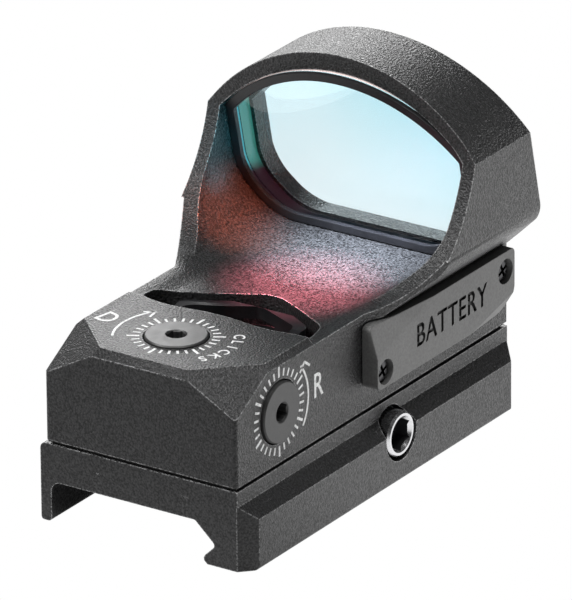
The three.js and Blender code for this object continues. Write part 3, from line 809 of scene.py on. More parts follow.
def show(piece: bpy.types.Object, finish: bpy.types.Material, body: str, slot: str, *nodes: str) -> None:
    """Dresses a finished piece and hands it to the frame.

    Args:
        piece: the object, at the origin.
        finish: its material.
        body: the body it rides on.
        slot: the record's material slot its finish belongs to; not used.
        nodes: the CAD nodes that it stands for, if any.
    """
    piece.data.materials.clear()
    piece.data.materials.append(finish)
    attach(piece, body)
    if nodes:
        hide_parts(*nodes)
    log.info("%s: %d faces", piece.name, len(piece.data.polygons))


def paint(piece: bpy.types.Object, finish: bpy.types.Material,
          chosen: Callable[[bpy.types.MeshPolygon], bool]) -> None:
    """Gives a second finish to the chosen faces of a dressed piece."""
    piece.data.materials.append(finish)
    for face in piece.data.polygons:
        face.material_index = int(chosen(face))


@dataclass
class Window:
    """The opening through the hood, and the outline that the lens and its ring share."""

    half: float = 17.3
    foot: float = 12.1
    knee: float = 22.4
    shoulder: float = 32.2
    apex: float = 39.95
    arc_steps: int = 40

    def outline(self, inset: float, soften: float = 2.6) -> bmesh.types.BMesh:
        """Draws the opening, drawn in by an inset, facing along Y."""
        half = self.half - inset
        floor = FLOOR + inset
        foot = self.foot - 0.4 * inset
        knee = self.knee + 0.4 * inset
        shoulder = self.shoulder - inset / 2
        rise = self.apex - inset - shoulder
        radius = (half * half + rise * rise) / (2 * rise)
        centre = self.apex - inset - radius
        sweep = 2 * math.degrees(math.atan2(half, shoulder - centre))
        draw = Outline(Axis.Y, -foot, floor).line(foot, floor).line(half, knee).line(half, shoulder)
        draw.arc(0.0, centre, sweep, self.arc_steps).line(-half, knee)
        bm = draw.close()
        corners = [v for v in bm.verts if v.co.z < shoulder - 1.0]
        soften_corners(bm, corners, soften)
        return bm

    def prism(self, inset: float, span: Span) -> bmesh.types.BMesh:
        """Extrudes the outline between two places at floor level and leans it back."""
        bm = extruded(self.outline(inset), Axis.Y, span)
        lean = Matrix.Identity(4)
        lean[1][2] = -LEAN
        lean[1][3] = LEAN * FLOOR
        bmesh.ops.transform(bm, matrix=lean, verts=bm.verts[:])
        return bm


@dataclass
class Housing:
    """The machined body: deck, bay, side arms and hood, with every bore and pocket."""

    finishes: Finishes
    window: Window = field(default_factory=Window)
    half: float = 19.05
    flare_low: float = 15.6
    flare_high: float = 20.9
    knee: float = 1.6
    shoulder: float = 32.4
    apex: float = 42.15
    crown_rear: float = 13.9
    edge: float = 0.22
    flare_end: Span = (-2.0, 14.0)

    def hood_section(self) -> bmesh.types.BMesh:
        """Draws the hood and body seen from behind."""
        rise = self.apex - self.shoulder
        radius = (self.half ** 2 + rise ** 2) / (2 * rise)
        centre = self.apex - radius
        sweep = 2 * math.degrees(math.atan2(self.half, self.shoulder - centre))
        draw = Outline(Axis.Y, -BODY_HALF, SEAM).line(BODY_HALF, SEAM).line(BODY_HALF, self.flare_low)
        draw.line(self.half, self.flare_high).line(self.half, self.shoulder).arc(0.0, centre, sweep, 56)
        draw.line(-self.half, self.flare_high).line(-BODY_HALF, self.flare_low)
        bm = draw.close()
        knees = [v for v in bm.verts if abs(v.co.x) > BODY_HALF + 1 and v.co.z < self.flare_high + 1]
        soften_corners(bm, knees, self.knee)
        return bm

    def sweep_points(self, steps: int = 28) -> list[Point2]:
        """Follows the side arms' top edge from the crown's rear down to the bay."""
        a, b, c, d = (self.crown_rear, 33.8), (12.8, 25.9), (6.1, 17.9), (-2.4, RIM)
        points = []
        for step in range(steps + 1):
            t = step / steps
            weights = ((1 - t) ** 3, 3 * t * (1 - t) ** 2, 3 * t * t * (1 - t), t ** 3)
            points.append(tuple(sum(w * p[i] for w, p in zip(weights, (a, b, c, d))) for i in (0, 1)))
        return points

    def side_section(self) -> bmesh.types.BMesh:
        """Draws the front part of the body seen from the side."""
        top = self.apex + 1.0
        draw = Outline(Axis.X, DECK_END, SEAM).line(HALF_LENGTH, SEAM).line(HALF_LENGTH, FLOOR)
        draw.line(HALF_LENGTH - LEAN * (top - FLOOR), top).line(self.crown_rear, top)
        draw.lines(self.sweep_points()).line(DECK_END, RIM)
        return draw.close()

    def rear_block(self) -> Stock:
        """Makes the block under the deck, with its rounded rear corners and chamfered rear edge."""
        chamfer = 0.95
        corner = 0.5
        rear = -HALF_LENGTH
        draw = Outline(Axis.X, rear, SEAM).line(DECK_END, SEAM).line(DECK_END, DECK)
        draw.line(rear + chamfer, DECK).line(rear, DECK - chamfer)
        plan = Outline(Axis.Z, -BODY_HALF, DECK_END).line(-BODY_HALF, rear + corner)
        plan.arc(-BODY_HALF + corner, rear + corner, 90.0, 8).line(BODY_HALF - corner, rear)
        plan.arc(BODY_HALF - corner, rear + corner, 90.0, 8).line(BODY_HALF, DECK_END)
        stock = Stock(extruded(draw.close(), Axis.X, (-BODY_HALF - 1, BODY_HALF + 1)))
        return stock.keep(extruded(plan.close(), Axis.Z, (0.0, 30.0)))

    def corner_tool(self, side: int) -> bmesh.types.BMesh:
        """Makes the cutter for one of the two large flats at the rear top corners."""
        normal = Vector((0.428 * side, -0.4475, 0.786)).normalized()
        bm = block((-13.0, 13.0), (-13.0, 13.0), (0.0, 8.0))
        turn = Vector((0.0, 0.0, 1.0)).rotation_difference(normal).to_matrix().to_4x4()
        bmesh.ops.transform(bm, matrix=turn, verts=bm.verts[:])
        bmesh.ops.translate(bm, vec=(10.2 * side, -27.2, 16.88), verts=bm.verts[:])
        return bm

    def edge_tool(self, side: int) -> bmesh.types.BMesh:
        """Makes the cutter for the chamfer along a side of the deck."""
        width = 0.8
        draw = Outline(Axis.Y, side * (BODY_HALF + 1), DECK - width - 1)
        draw.line(side * (BODY_HALF + 1), DECK + 1).line(side * (BODY_HALF - width - 1), DECK + 1)
        return extruded(draw.close(), Axis.Y, (-HALF_LENGTH - 1, DECK_END + 0.01))

    def flare_tool(self, side: int) -> bmesh.types.BMesh:
        """Makes the wedge that ends the flare behind the hood."""
        near, far = self.flare_end
        draw = Outline(Axis.Z, side * BODY_HALF, -14.0).line(side * 22.0, -14.0)
        draw.line(side * 22.0, far).line(side * BODY_HALF, near)
        return extruded(draw.close(), Axis.Z, (SEAM - 1, 22.0))

    def mouth_tool(self) -> bmesh.types.BMesh:
        """Makes the cutter for the bay's wavy mouth."""
        draw = Outline(Axis.Z, -11.8, -12.6).lines([
            (-7.6, -13.7), (0.0, -12.7), (7.1, -13.6), (12.3, -12.7),
            (11.2, -7.2), (4.4, -3.4), (0.8, -1.9), (-3.8, -4.6), (-11.9, -8.6),
        ])
        return extruded(draw.close(1.9, 8), Axis.Z, (12.5, 30.0))

    def pocket_tools(self) -> list[bmesh.types.BMesh]:
        """Makes the cutters for the pockets, bores and slots inside the body."""
        y, z = SIDE_DIAL
        tools = [
            bar(Axis.Z, 4.0, (15.0, 30.0), *TOP_DIAL, 72),
            bar(Axis.Z, 2.3, (12.6, 30.0), *TOP_DIAL),
            bar(Axis.X, 4.0, (10.4, 20.0), y, z, 72),
            bar(Axis.X, 2.3, (7.9, 20.0), y, z),
            block((-9.5, 8.9), (-24.5, -4.4), (4.0, 13.6)),
            block((4.15, 8.9), (-23.6, -16.9), (SEAM, 15.2)),
            block((-11.3, 10.3), (-5.4, 24.6), (4.0, 8.4)),
            block((-10.1, 20.0), (0.7, 23.7), (9.5, 15.2)),
            block((-12.2, -9.0), (3.0, 21.5), (9.5, 15.2)),
            block((BODY_HALF, 20.0), (-3.1, 27.8), (8.1, 16.7)),
        ]
        for screw_y, screw_z in (REAR_SCREW, FRONT_SCREW):
            tools.append(bar(Axis.X, 1.15, (8.8, 20.0), screw_y, screw_z, 24))
        for _, button_y in BUTTONS:
            tools.append(bar(Axis.X, 2.9, (-20.0, -12.9), button_y, BUTTON_Z))
            tools.append(bar(Axis.X, 1.3, (-14.0, -11.0), button_y, BUTTON_Z, 24))
        for x, y in (*BASE_SCREWS, *DOWELS):
            tools.append(bar(Axis.Z, 1.4, (4.0, 9.9), x, y, 24))
        return tools

    def build(self) -> None:
        """Builds and dresses the housing."""
        stock = Stock(extruded(self.hood_section(), Axis.Y, (DECK_END, HALF_LENGTH + 1.0)))
        stock.keep(extruded(self.side_section(), Axis.X, (-25.0, 25.0)))
        stock.cut(
            self.window.prism(0.0, (-60.0, 26.7)),
            self.window.prism(0.6, (25.7, 60.0)),
        )
        stock.cut(self.flare_tool(1), self.flare_tool(-1))
        stock.join(self.rear_block().taken())
        stock.cut(self.corner_tool(1), self.corner_tool(-1), self.edge_tool(1), self.edge_tool(-1))
        stock.cut(self.mouth_tool(), *self.pocket_tools())
        stock.clean().round_edges(self.edge, 2)
        show(stock.finished("body_shell"), self.finishes.body, BODY, "housing_black", "housing")


@dataclass
class LensStack:
    """The cemented lens pair and the ring behind it."""

    finishes: Finishes
    window: Window = field(default_factory=Window)
    fit: float = 0.12
    ring: Span = (18.0, 18.8)
    inner: Span = (18.9, 22.0)
    outer: Span = (22.1, 26.6)
    ring_width: float = 1.25

    def build(self) -> None:
        """Builds and dresses the ring and both lens elements."""
        ring = Stock(self.window.prism(self.fit, self.ring))
        ring.cut(self.window.prism(self.ring_width, (self.ring[0] - 2, self.ring[1] + 2)))
        ring.round_edges(0.15, 2)
        show(ring.finished("lens_retainer"), self.finishes.black, BODY, "black_plastic", "lens_ring")
        for name, span in (("lens_inner_glass", self.inner), ("lens_outer_glass", self.outer)):
            stock = Stock(self.window.prism(self.fit, span))
            stock.round_edges(0.12, 2, 60.0)
            piece = stock.finished(name)
            node = name.removesuffix("_glass")
            show(piece, self.finishes.glass, BODY, "lens_glass", node)
            # the lens's side faces get the rim's painted reflections and painted glow
            paint(piece, self.finishes.rim_reflections[node], lambda face: abs(face.normal.y) < 0.6)


@dataclass
class Marks:
    """The printed marks round one dial: ticks, an arrow and a letter, as thin raised ink."""

    axis: Axis
    centre: Point2
    surface: float
    ticks: int = 30
    inner: float = 4.35
    minor: float = 5.3
    major: float = 5.85
    ink: float = 0.015

    def sheet(self, flat: bmesh.types.BMesh) -> bmesh.types.BMesh:
        """Gives a flat shape lying at 0 its thickness, and lays it on the surface."""
        return extruded(flat, self.axis, (self.surface - 0.03, self.surface + self.ink))

    def stroke(self, start: Point2, end: Point2, width: float) -> bmesh.types.BMesh:
        """Draws a straight stroke between two points."""
        along = Vector((end[0] - start[0], end[1] - start[1]))
        side = Vector((-along.y, along.x)).normalized() * (width / 2)
        draw = Outline(self.axis, start[0] - side.x, start[1] - side.y)
        draw.line(end[0] - side.x, end[1] - side.y).line(end[0] + side.x, end[1] + side.y)
        return self.sheet(draw.line(start[0] + side.x, start[1] + side.y).close())

    def polar(self, radius: float, degrees: float) -> Point2:
        """Gives the point at a radius and angle round the dial."""
        turn = math.radians(degrees)
        return (self.centre[0] + radius * math.cos(turn), self.centre[1] + radius * math.sin(turn))

    def curve(self, radius: float, start: float, sweep: float, width: float) -> bmesh.types.BMesh:
        """Draws a curved stroke round the dial's centre."""
        draw = Outline(self.axis, *self.polar(radius - width / 2, start))
        draw.arc(*self.centre, sweep, 24).line(*self.polar(radius + width / 2, start + sweep))
        return self.sheet(draw.arc(*self.centre, -sweep, 24).close())

    def ring(self) -> list[bmesh.types.BMesh]:
        """Draws the ring of ticks, a longer one every fifth."""
        strokes = []
        for step in range(self.ticks):
            degrees = 90.0 + step * 360.0 / self.ticks
            long = step % 5 == 0
            outer = self.major if long else self.minor
            width = 0.34 if long else 0.29
            strokes.append(self.stroke(self.polar(self.inner, degrees), self.polar(outer, degrees), width))
        return strokes

    def letter(self, text: str, place: Point2, height: float, stretch: float,
               degrees: float) -> bmesh.types.BMesh:
        """Draws a letter standing along the second axis.

        Args:
            text: the letter.
            place: its centre.
            height: its cap height in millimetres.
            stretch: the factor on its width.
            degrees: how far it is turned, positive from the first axis to the second.

        Returns:
            A bmesh of the raised letter.
        """
        bm = lettering(text, height / 0.7, (0.03 + self.ink) / 2, weight=0.035)
        spin = Matrix.Rotation(math.radians(degrees), 4, "Z") @ Matrix.Diagonal((stretch, 1.0, 1.0, 1.0))
        bmesh.ops.transform(bm, matrix=FACING[self.axis] @ spin, verts=bm.verts[:])
        middle = self.surface + (self.ink - 0.03) / 2
        bmesh.ops.translate(bm, verts=bm.verts[:], vec=lift(self.axis, *place, middle))
        bmesh.ops.recalc_face_normals(bm, faces=bm.faces[:])
        return bm


@dataclass
class Dial:
    """A captive adjuster: disc with a hex socket, seal groove, neck, clip groove and shank."""

    axis: Axis
    centre: Point2
    face: float
    bore_floor: float
    wall: float
    tip: float
    radius: float = 3.8

    def profile(self) -> list[Point2]:
        """Lists the lathe profile from the shank's tip to the disc's face."""
        foot = self.bore_floor + 0.4
        clip = self.wall - 1.0
        groove = self.face - 2.6
        return [
            (0.0, self.tip), (1.3, self.tip), (1.5, self.tip + 0.2), (1.5, clip - 0.3), (2.0, clip - 0.3),
            (2.0, clip), (1.2, clip), (1.2, clip + 0.7), (2.0, clip + 0.7), (2.0, foot), (self.radius, foot),
            (self.radius, groove), (3.3, groove), (3.3, groove + 0.7), (self.radius, groove + 0.7),
            (self.radius, self.face - 0.16), (self.radius - 0.16, self.face), (0.0, self.face),
        ]

    def build(self, name: str, finish: bpy.types.Material, body: str, node: str) -> None:
        """Builds and dresses the adjuster."""
        stock = Stock(turned(self.axis, self.profile(), *self.centre, 96))
        socket = bar(self.axis, 1.27, (self.face - 1.6, self.face + 1.0), *self.centre, 6)
        deep, clear = self.face - 0.22, self.face + 0.1
        relief = turned(
            self.axis,
            [(0.0, deep), (1.12, deep), (1.42, clear), (0.0, clear)],
            *self.centre,
        )
        stock.cut(socket, relief)
        show(stock.finished(name, 30.0), finish, body, "dial_metal", node)


@dataclass
class Dials:
    """Both adjusters with the printed marks round them."""

    finishes: Finishes

    def build(self) -> None:
        """Builds the elevation and windage dials and their marks."""
        Dial(Axis.Z, TOP_DIAL, 18.7, 15.0, 13.6, 5.9).build(
            "elevation_dial_turned", self.finishes.dial_top, "elevation_dial", "elevation_screw",
        )
        Dial(Axis.X, SIDE_DIAL, 13.95, 10.4, 8.9, 3.2).build(
            "windage_dial_turned", self.finishes.dial_side, "windage_dial", "windage_screw",
        )
        top = Marks(Axis.Z, TOP_DIAL, DECK)
        pointer = Marks(Axis.Z, (0.0, -20.6), DECK)
        tip = (-6.62, -16.18)
        strokes = top.ring() + [
            pointer.curve(8.1, 211.0, -64.0, 0.31),
            pointer.stroke(tip, (-7.85, -16.95), 0.31),
            pointer.stroke(tip, (-6.35, -17.8), 0.31),
            pointer.letter("D", (-10.5, -20.65), 2.8, 0.85, -12.0),
        ]
        for step, sign in enumerate("CLICKS"):
            degrees = 31.0 - step * 12.5
            strokes.append(top.letter(sign, top.polar(7.35, degrees), 1.35, 0.95, degrees - 90.0))
        show(Stock(joined(strokes)).finished("deck_marks"), self.finishes.print, BODY, "housing_black")
        side = Marks(Axis.X, SIDE_DIAL, BODY_HALF, major=5.7)
        tip = (-14.9, 16.2)
        strokes = side.ring() + [
            side.curve(6.2, -36.0, 78.0, 0.31),
            side.stroke(tip, (-13.75, 15.35), 0.31),
            side.stroke(tip, (-15.85, 15.1), 0.31),
            side.letter("R", (-12.0, 12.1), 3.1, 0.8, 0.0),
        ]
        show(Stock(joined(strokes)).finished("side_marks"), self.finishes.print, BODY, "housing_black")


@dataclass
class BatteryDrawer:
    """The cover and its two screws; its seal, the tray and the cell behind keep their plain shapes."""

    finishes: Finishes
    face: float = 15.9
    back: float = 13.65
    span_y: Span = (-2.8, 27.5)
    span_z: Span = (8.4, 16.4)
    screws: tuple[tuple[str, str, Point2], ...] = (
        ("cover_screw_rear", "tray_screw_rear", REAR_SCREW),
        ("cover_screw_front", "tray_screw_front", FRONT_SCREW),
    )
    word_place: Point2 = (13.4, 12.35)
    bolder: float = 0.07

    def cover(self) -> None:
        """Builds the cover plate with its facets, screw seats and engraved word."""
        y0, y1 = self.span_y
        z0, z1 = self.span_z
        draw = Outline(Axis.X, y0, z0).line(y1 - 2.1, z0).line(y1, z0 + 2.3).line(y1, z1).line(y0, z1)
        plate = extruded(draw.close(0.8, 6), Axis.X, (self.back, self.face))
        facet(plate, Vector((self.face, 9.0, 16.2)), Vector((0.955, -0.09, 0.28)))
        facet(plate, Vector((self.face, 17.5, z0)), Vector((0.922, 0.084, -0.377)))
        stock = Stock(plate).round_edges(0.25, 8)
        for _, _, (y, z) in self.screws:
            stock.cut(bar(Axis.X, 1.6, (self.face - 1.5, 20.0), y, z))
            stock.cut(bar(Axis.X, 1.2, (10.0, 20.0), y, z, 32))
        for shift in (-self.bolder, self.bolder):
            stock.cut(self.word(shift))
        piece = stock.even(12.0).finished("cover_plate", 12.0)
        show(piece, self.finishes.cover, "battery_drawer", "cover_grey", "battery_cover")
        paint(piece, self.finishes.engraving, self.engraved)

    def word(self, shift: float) -> bmesh.types.BMesh:
        """Makes the word's cutter, moved by a shift: two cuts, a little apart, give bold strokes."""
        word = lettering("BATTERY", 4.15, 0.35, 1.08)
        y, z = self.word_place
        bmesh.ops.scale(word, vec=(0.86, 1.0, 1.0), verts=word.verts[:])
        bmesh.ops.transform(word, matrix=FACING[Axis.X], verts=word.verts[:])
        bmesh.ops.translate(word, vec=(self.face, y + shift, z + shift / 2), verts=word.verts[:])
        bmesh.ops.recalc_face_normals(word, faces=word.faces[:])
        return word

    def engraved(self, face: bpy.types.MeshPolygon) -> bool:
        """Tells whether a face of the cover lies inside the engraved word."""
        middle = face.center / MM
        inside = 4.5 < middle.y < 22.5 and 10.0 < middle.z < 14.8
        return inside and self.face - 0.4 < middle.x < self.face - 0.04

    def screw(self, name: str, node: str, place: Point2) -> None:
        """Builds one cross-slotted cover screw."""
        face = self.face - 0.45
        stock = Stock(turned(
            Axis.X,
            [(0.0, 9.2), (0.8, 9.2), (1.0, 9.4), (1.0, face - 1.0), (1.42, face - 1.0), (1.42, face - 0.35),
             (1.25, face - 0.1), (0.7, face), (0.0, face)],
            *place,
        ))
        y, z = place
        turn = Matrix.Translation((0.0, y, z)) @ Matrix.Rotation(math.radians(25.0), 4, "X")
        for size_y, size_z in ((0.95, 0.22), (0.22, 0.95)):
            slot = block((face - 0.7, 20.0), (-size_y, size_y), (-size_z, size_z))
            bmesh.ops.transform(slot, matrix=turn, verts=slot.verts[:])
            stock.cut(slot)
        body = "drawer_screw_rear" if "rear" in node else "drawer_screw_front"
        show(stock.finished(name, 30.0), self.finishes.blackened, body, "black_steel", node)

    def build(self) -> None:
        """Builds the drawer's visible pieces."""
        self.cover()
        for name, node, place in self.screws:
            self.screw(name, node, place)


@dataclass
class Emitter:
    """The black shroud in the bay, with its two raised lips."""

    finishes: Finishes

    def build(self) -> None:
        """Builds and dresses the shroud."""
        side = Outline(Axis.X, -10.9, 12.9).lines([
            (-2.6, 12.9), (-2.6, 15.4), (-5.0, 16.6), (-8.4, 16.6), (-10.9, 15.9),
        ])
        plan = Outline(Axis.Z, -8.6, -11.0).lines([
            (8.6, -11.0), (8.9, -7.0), (4.1, -4.2), (0.8, -2.9), (-3.7, -5.4), (-8.6, -8.0),
        ])
        stock = Stock(extruded(side.close(), Axis.X, (-9.0, 9.0)))
        stock.keep(extruded(plan.close(1.0, 6), Axis.Z, (12.0, 18.0)))
        hollow = Outline(Axis.Z, -7.6, -10.2).lines([
            (7.6, -10.2), (7.3, -7.6), (0.6, -4.6), (-3.2, -6.9), (-7.6, -9.0),
        ])
        stock.cut(
            extruded(hollow.close(0.7, 6), Axis.Z, (13.7, 20.0)),
            block((-3.2, 3.2), (-8.0, 0.0), (13.6, 15.0)),
            block((-7.6, 7.6), (-13.0, -9.7), (12.0, 15.8)),
        )
        stock.clean().round_edges(0.25, 3)
        show(stock.finished("shroud_lips"), self.finishes.black, BODY, "black_plastic", "emitter_shroud")


@dataclass
class Buttons:
    """The two soft brightness buttons on the left side."""

    finishes: Finishes

    def build(self) -> None:
        """Builds and dresses both buttons with a plus or minus cut into the face."""
        for name, y in BUTTONS:
            stock = Stock(turned(
                Axis.X,
                [(0.0, -14.22), (1.9, -14.22), (2.35, -14.1), (2.6, -13.8), (2.6, -13.45), (1.0, -13.45),
                 (1.0, -12.45), (0.0, -12.45)],
                y, BUTTON_Z,
            ))
            stock.cut(block((-15.0, -14.1), (y - 1.1, y + 1.1), (12.0, 12.4)))
            if name == "up":
                stock.cut(block((-15.0, -14.1), (y - 0.2, y + 0.2), (11.1, 13.3)))
            show(stock.finished(f"{name}_button_cap", 30.0), self.finishes.rubber, f"{name}_button",
                 "rubber_black", f"button_{name}")


@dataclass
class RailBase:
    """The dovetail base with its clamp bolt, jaw and nut."""

    finishes: Finishes
    top: float = 4.85
    foot: float = -5.3
    right: float = 15.4
    left: float = -14.3
    leg: float = -12.8
    bolt: Point2 = (3.1, 0.65)

    def section(self) -> bmesh.types.BMesh:
        """Draws the base seen from behind."""
        draw = Outline(Axis.Y, 13.6, self.top).line(-BODY_HALF, self.top)
        draw.arc(-BODY_HALF, self.top - 0.8, 90.0, 8).line(self.left, -4.75)
        draw.arc(self.left + 0.4, -4.75, 90.0, 6).line(self.leg - 0.5, -5.15)
        draw.arc(self.leg - 0.5, -4.65, 90.0, 6).line(self.leg, -1.3)
        draw.arc(self.leg + 1.3, -1.3, -90.0, 10).line(7.4, 0.0)
        draw.arc(7.4, -0.5, -42.0, 5).line(10.15, -2.35).arc(9.75, -2.7, -100.0, 8)
        draw.lines([(9.0, -4.15), (8.8, -4.5), (8.85, -4.9), (9.3, self.foot), (self.right - 0.5, self.foot)])
        draw.arc(self.right - 0.5, self.foot + 0.5, 90.0, 6).line(self.right, 1.2).line(13.6, 2.95)
        return draw.close()

    def corner_tool(self, end: int) -> bmesh.types.BMesh:
        """Makes the cutter for an outer corner of the right-hand block."""
        y = end * HALF_LENGTH
        draw = Outline(Axis.Z, self.right + 1, y - 2.9 * end).line(self.right + 1, y + end)
        return extruded(draw.line(self.right - 2.9, y + end).close(), Axis.Z, (self.foot - 1, 2.9))

    def base(self) -> None:
        """Builds the base itself."""
        stock = Stock(extruded(self.section(), Axis.Y, (-HALF_LENGTH, HALF_LENGTH)))
        stock.cut(
            self.corner_tool(1),
            self.corner_tool(-1),
            block((self.left - 1, self.leg + 1.4), (-17.4, 20.6), (-8.0, 0.0)),
            bar(Axis.X, 3.3, (12.3, 18.0), *self.bolt, 64),
            bar(Axis.X, 2.3, (-20.0, 14.0), *self.bolt),
        )
        for x, y in BASE_SCREWS:
            stock.cut(bar(Axis.Z, 1.4, (-1.0, 6.0), x, y, 32), bar(Axis.Z, 2.45, (-1.0, 2.6), x, y))
        for x, y in DOWELS:
            stock.cut(bar(Axis.Z, 1.3, (2.0, 6.0), x, y, 32))
        stock.clean().round_edges(0.2, 2)
        show(stock.finished("rail_base"), self.finishes.base, BODY, "base_black", "mount_base")

    def clamp(self) -> None:
        """Builds the bolt, the jaw and the nut."""
        y, z = self.bolt
        stock = Stock(turned(
            Axis.X,
            [(0.0, -18.2), (1.8, -18.2), (2.0, -18.0), (2.0, 12.6), (2.85, 12.6), (2.85, 15.1), (2.6, 15.4),
             (0.0, 15.4)],
            y, z,
        ))
        relief = [(0.0, 14.95), (1.95, 14.95), (2.35, 15.5), (0.0, 15.5)]
        stock.cut(bar(Axis.X, 2.19, (13.4, 16.0), y, z, 6), turned(Axis.X, relief, y, z))
        bolt = stock.finished("clamp_bolt_turned", 30.0)
        show(bolt, self.finishes.steel, "clamp_screw", "bright_steel", "clamp_bolt")
        # the faces inside the hex socket are painted black: painted shade in the recess
        paint(bolt, self.finishes.black, self.in_shaded_socket)
        plate = Outline(Axis.X, -18.6, -5.0).lines([(21.8, -5.0), (21.8, 3.4), (-18.6, 3.4)])
        hook = Outline(Axis.Y, -15.0, -5.0).lines([
            (-9.2, -5.0), (-8.8, -4.6), (-8.8, -4.4), (-10.5, -2.7),
            (-8.45, -0.65), (-8.45, -0.35), (-15.0, -0.35),
        ])
        stock = Stock(extruded(plate.close(1.2, 6), Axis.X, (-15.9, -14.65)))
        stock.join(extruded(hook.close(), Axis.Y, (-16.9, 20.1)), bar(Axis.X, 4.6, (-17.6, -15.0), y, z, 64))
        stock.cut(bar(Axis.X, 2.3, (-20.0, 0.0), y, z), bar(Axis.X, 3.81, (-18.0, -15.4), y, z, 6))
        stock.clean().round_edges(0.18, 2)
        show(stock.finished("jaw_plate"), self.finishes.pale, "clamp", "bright_steel", "clamp_jaw")
        stock = Stock(bar(Axis.X, 3.69, (-17.5, -15.5), y, z, 6))
        stock.cut(bar(Axis.X, 2.1, (-20.0, 0.0), y, z)).round_edges(0.12, 2)
        show(stock.finished("clamp_nut_hex"), self.finishes.steel, "clamp", "bright_steel", "clamp_nut")

    def in_shaded_socket(self, face: bpy.types.MeshPolygon) -> bool:
        """Tells whether a face of the bolt lies inside its hexagon socket, which is painted black as painted
        shade.
        """
        middle = face.center / MM
        reach = math.hypot(middle.y - self.bolt[0], middle.z - self.bolt[1])
        return 13.3 < middle.x < 15.0 and reach < 2.15

    def build(self) -> None:
        """Builds the base and its clamp."""
        self.base()
        self.clamp()


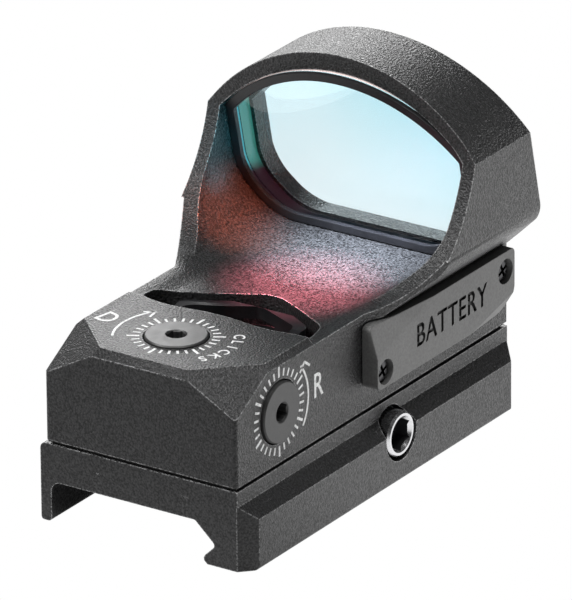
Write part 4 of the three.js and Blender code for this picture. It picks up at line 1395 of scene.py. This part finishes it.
@dataclass
class Studio:
    """The floor, the lights and the camera."""

    bounce: Span = (0.5, 1.35)
    through_glass: float = 1.12
    shade: float = 0.05

    def floor(self) -> None:
        """Lays a pale floor under the base. It glows: evenly white to the camera and a little brighter seen
        through the glass; to every other ray its glow rises towards the target end and drops to a painted
        shadow under the base's footprint.
        """
        low = min(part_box(node)[0].z for node in frame["nodes"])
        bm = bmesh.new()
        bmesh.ops.create_grid(bm, x_segments=1, y_segments=1, size=3.0)
        bmesh.ops.translate(bm, vec=(0.0, 0.0, low), verts=bm.verts[:])
        mesh = bpy.data.meshes.new("floor")
        bm.to_mesh(mesh)
        bm.free()
        obj = bpy.data.objects.new("floor", mesh)
        bpy.context.scene.collection.objects.link(obj)
        recipe = Recipe("floor_white")
        seen = recipe.tree.nodes.new("ShaderNodeLightPath").outputs
        glass = recipe.remap(seen["Is Transmission Ray"], (0.0, 1.0), (1.0, self.through_glass))
        direct = recipe.maths("ADD", seen["Is Camera Ray"], seen["Is Transmission Ray"])
        recipe.set(Base_Color=(0.0, 0.0, 0.0, 1.0), Roughness=1.0, Specular_IOR_Level=0.0)
        recipe.set(Emission_Color=(1.0, 1.0, 1.0, 1.0))
        bounce_glow = recipe.remap(recipe.gradient(1, -45.0, 0.0), (0.0, 1.0), self.bounce)
        # painted shadow: under the base's footprint the floor's glow drops to the shade value
        outside = recipe.maths("MAXIMUM", recipe.beyond(0, 12.0, 16.0), recipe.beyond(1, 26.0, 31.0))
        shaded = recipe.blend(outside, self.shade, bounce_glow)
        recipe.link(recipe.blend(direct, shaded, glass), recipe.shader.inputs["Emission Strength"])
        mesh.materials.append(recipe.material)

    def light(self, name: str, place: Vector, aim: Vector, size: Span, power: float,
              colour: Colour = (1.0, 1.0, 1.0)) -> bpy.types.Object:
        """Hangs a soft rectangular light.

        Args:
            name: what it is called.
            place: where it hangs, in metres.
            aim: the point it faces.
            size: its width and height in metres.
            power: its strength in watts.
            colour: its colour.

        Returns:
            The light's object.
        """
        lamp = bpy.data.lights.new(name, "AREA")
        lamp.shape = "RECTANGLE"
        lamp.size, lamp.size_y = size
        lamp.energy = power
        lamp.color = colour
        obj = bpy.data.objects.new(name, lamp)
        obj.location = place
        obj.rotation_euler = (aim - place).to_track_quat("-Z", "Y").to_euler()
        obj.visible_camera = False
        obj.visible_transmission = False
        bpy.context.scene.collection.objects.link(obj)
        return obj

    def coating_glow(self) -> None:
        """Casts the lens coating's coloured reflections onto the walls and floor inside the hood."""
        for name, place, aim, cone, power, colour in (
            ("glow_pink", (4.0, 0.0, 45.0), (2.0, 2.5, 17.0), 46.0, 0.66, (1.0, 0.24, 0.30)),
            ("glow_grey", (3.0, 8.0, 38.0), (2.0, 13.5, 17.0), 74.0, 0.36, (0.78, 0.86, 1.0)),
            ("glow_orange", (4.0, 6.0, 30.0), (-15.5, 12.0, 17.8), 44.0, 0.13, (1.0, 0.20, 0.10)),
            ("glow_teal", (6.0, 6.0, 26.0), (-17.3, 13.0, 27.0), 30.0, 0.05, (0.16, 0.80, 1.0)),
            ("glow_edge", (0.0, 2.0, 27.0), (-17.3, 12.5, 23.2), 12.0, 0.06, (0.06, 0.75, 0.95)),
        ):
            lamp = bpy.data.lights.new(name, "SPOT")
            lamp.energy = power
            lamp.color = colour
            lamp.spot_size = math.radians(cone)
            lamp.spot_blend = 1.0
            lamp.shadow_soft_size = 1.5 * MM
            obj = bpy.data.objects.new(name, lamp)
            obj.location = Vector(place) * MM
            obj.rotation_euler = (Vector(aim) - Vector(place)).to_track_quat("-Z", "Y").to_euler()
            obj.visible_camera = False
            obj.visible_glossy = False
            obj.visible_transmission = False
            bpy.context.scene.collection.objects.link(obj)

    def camera(self) -> None:
        """Places a long lens behind and to the right of the finder."""
        azimuth, elevation, roll = (math.radians(a) for a in (33.63, 23.06, -0.46))
        look = Vector((
            -math.sin(azimuth) * math.cos(elevation),
            math.cos(azimuth) * math.cos(elevation),
            -math.sin(elevation),
        ))
        right = Vector((math.cos(azimuth), math.sin(azimuth), 0.0))
        up = right.cross(look)
        turned_right = right * math.cos(roll) + up * math.sin(roll)
        turned_up = up * math.cos(roll) - right * math.sin(roll)
        pose = Matrix((turned_right, turned_up, -look)).transposed().to_4x4()
        pose.translation = Vector((606.63, -910.38, 481.33)) * MM
        data = bpy.data.cameras.new("camera")
        data.lens = 600.0
        data.sensor_width = 36.0
        data.clip_start = 0.01
        data.clip_end = 20.0
        obj = bpy.data.objects.new("camera", data)
        obj.matrix_world = pose
        bpy.context.scene.collection.objects.link(obj)
        bpy.context.scene.camera = obj

    def build(self) -> None:
        """Sets the whole studio up."""
        scene = bpy.context.scene
        scene.view_settings.view_transform = "Standard"
        world = bpy.data.worlds.new("studio")
        world.use_nodes = True
        world.node_tree.nodes["Background"].inputs["Color"].default_value = (1.0, 1.0, 1.0, 1.0)
        world.node_tree.nodes["Background"].inputs["Strength"].default_value = 0.06
        scene.world = world
        self.camera()
        self.floor()
        aim = Vector((0.0, 0.0, 0.02))
        self.light("back_left", Vector((-0.54, 0.75, 0.30)), aim, (0.50, 0.28), 4.3)
        self.light("back_right_low", Vector((0.62, 0.70, -0.01)), aim, (0.60, 0.10), 3.4)
        self.light("overhead", Vector((0.22, -0.05, 0.93)), aim, (0.30, 0.30), 4.0)
        self.light("key_left", Vector((-0.40, -0.50, 0.72)), aim, (0.40, 0.40), 7.0)
        self.light("front_fill", Vector((-0.45, -0.85, 0.10)), aim, (0.5, 0.3), 0.5)
        self.coating_glow()


def dress_frame(finishes: Finishes) -> None:
    """Gives every CAD node that stays visible its procedural material, by its record slot."""
    by_slot = {
        "housing_black": finishes.body,
        "base_black": finishes.base,
        "dial_metal": finishes.blackened,
        "cover_grey": finishes.cover,
        "black_plastic": finishes.black,
        "rubber_black": finishes.rubber,
        "bright_steel": finishes.steel,
        "black_steel": finishes.blackened,
        "brass": finishes.brass,
        "board_green": finishes.board,
        "led_red": finishes.led,
        "lens_glass": finishes.glass,
    }
    for entry in frame["record"]["subparts"]:
        node = frame["nodes"][entry["node"]]
        node.data.materials.clear()
        node.data.materials.append(by_slot[entry["material_slot"]])


def main() -> None:
    """Builds every sub-assembly in order, then the studio."""
    logging.basicConfig(level=logging.INFO, format="%(name)s %(message)s")
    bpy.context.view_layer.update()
    finishes = Finishes()
    dress_frame(finishes)
    Housing(finishes).build()
    LensStack(finishes).build()
    Dials(finishes).build()
    Emitter(finishes).build()
    BatteryDrawer(finishes).build()
    Buttons(finishes).build()
    RailBase(finishes).build()
    Studio().build()


if __name__ == "__main__":
    main()
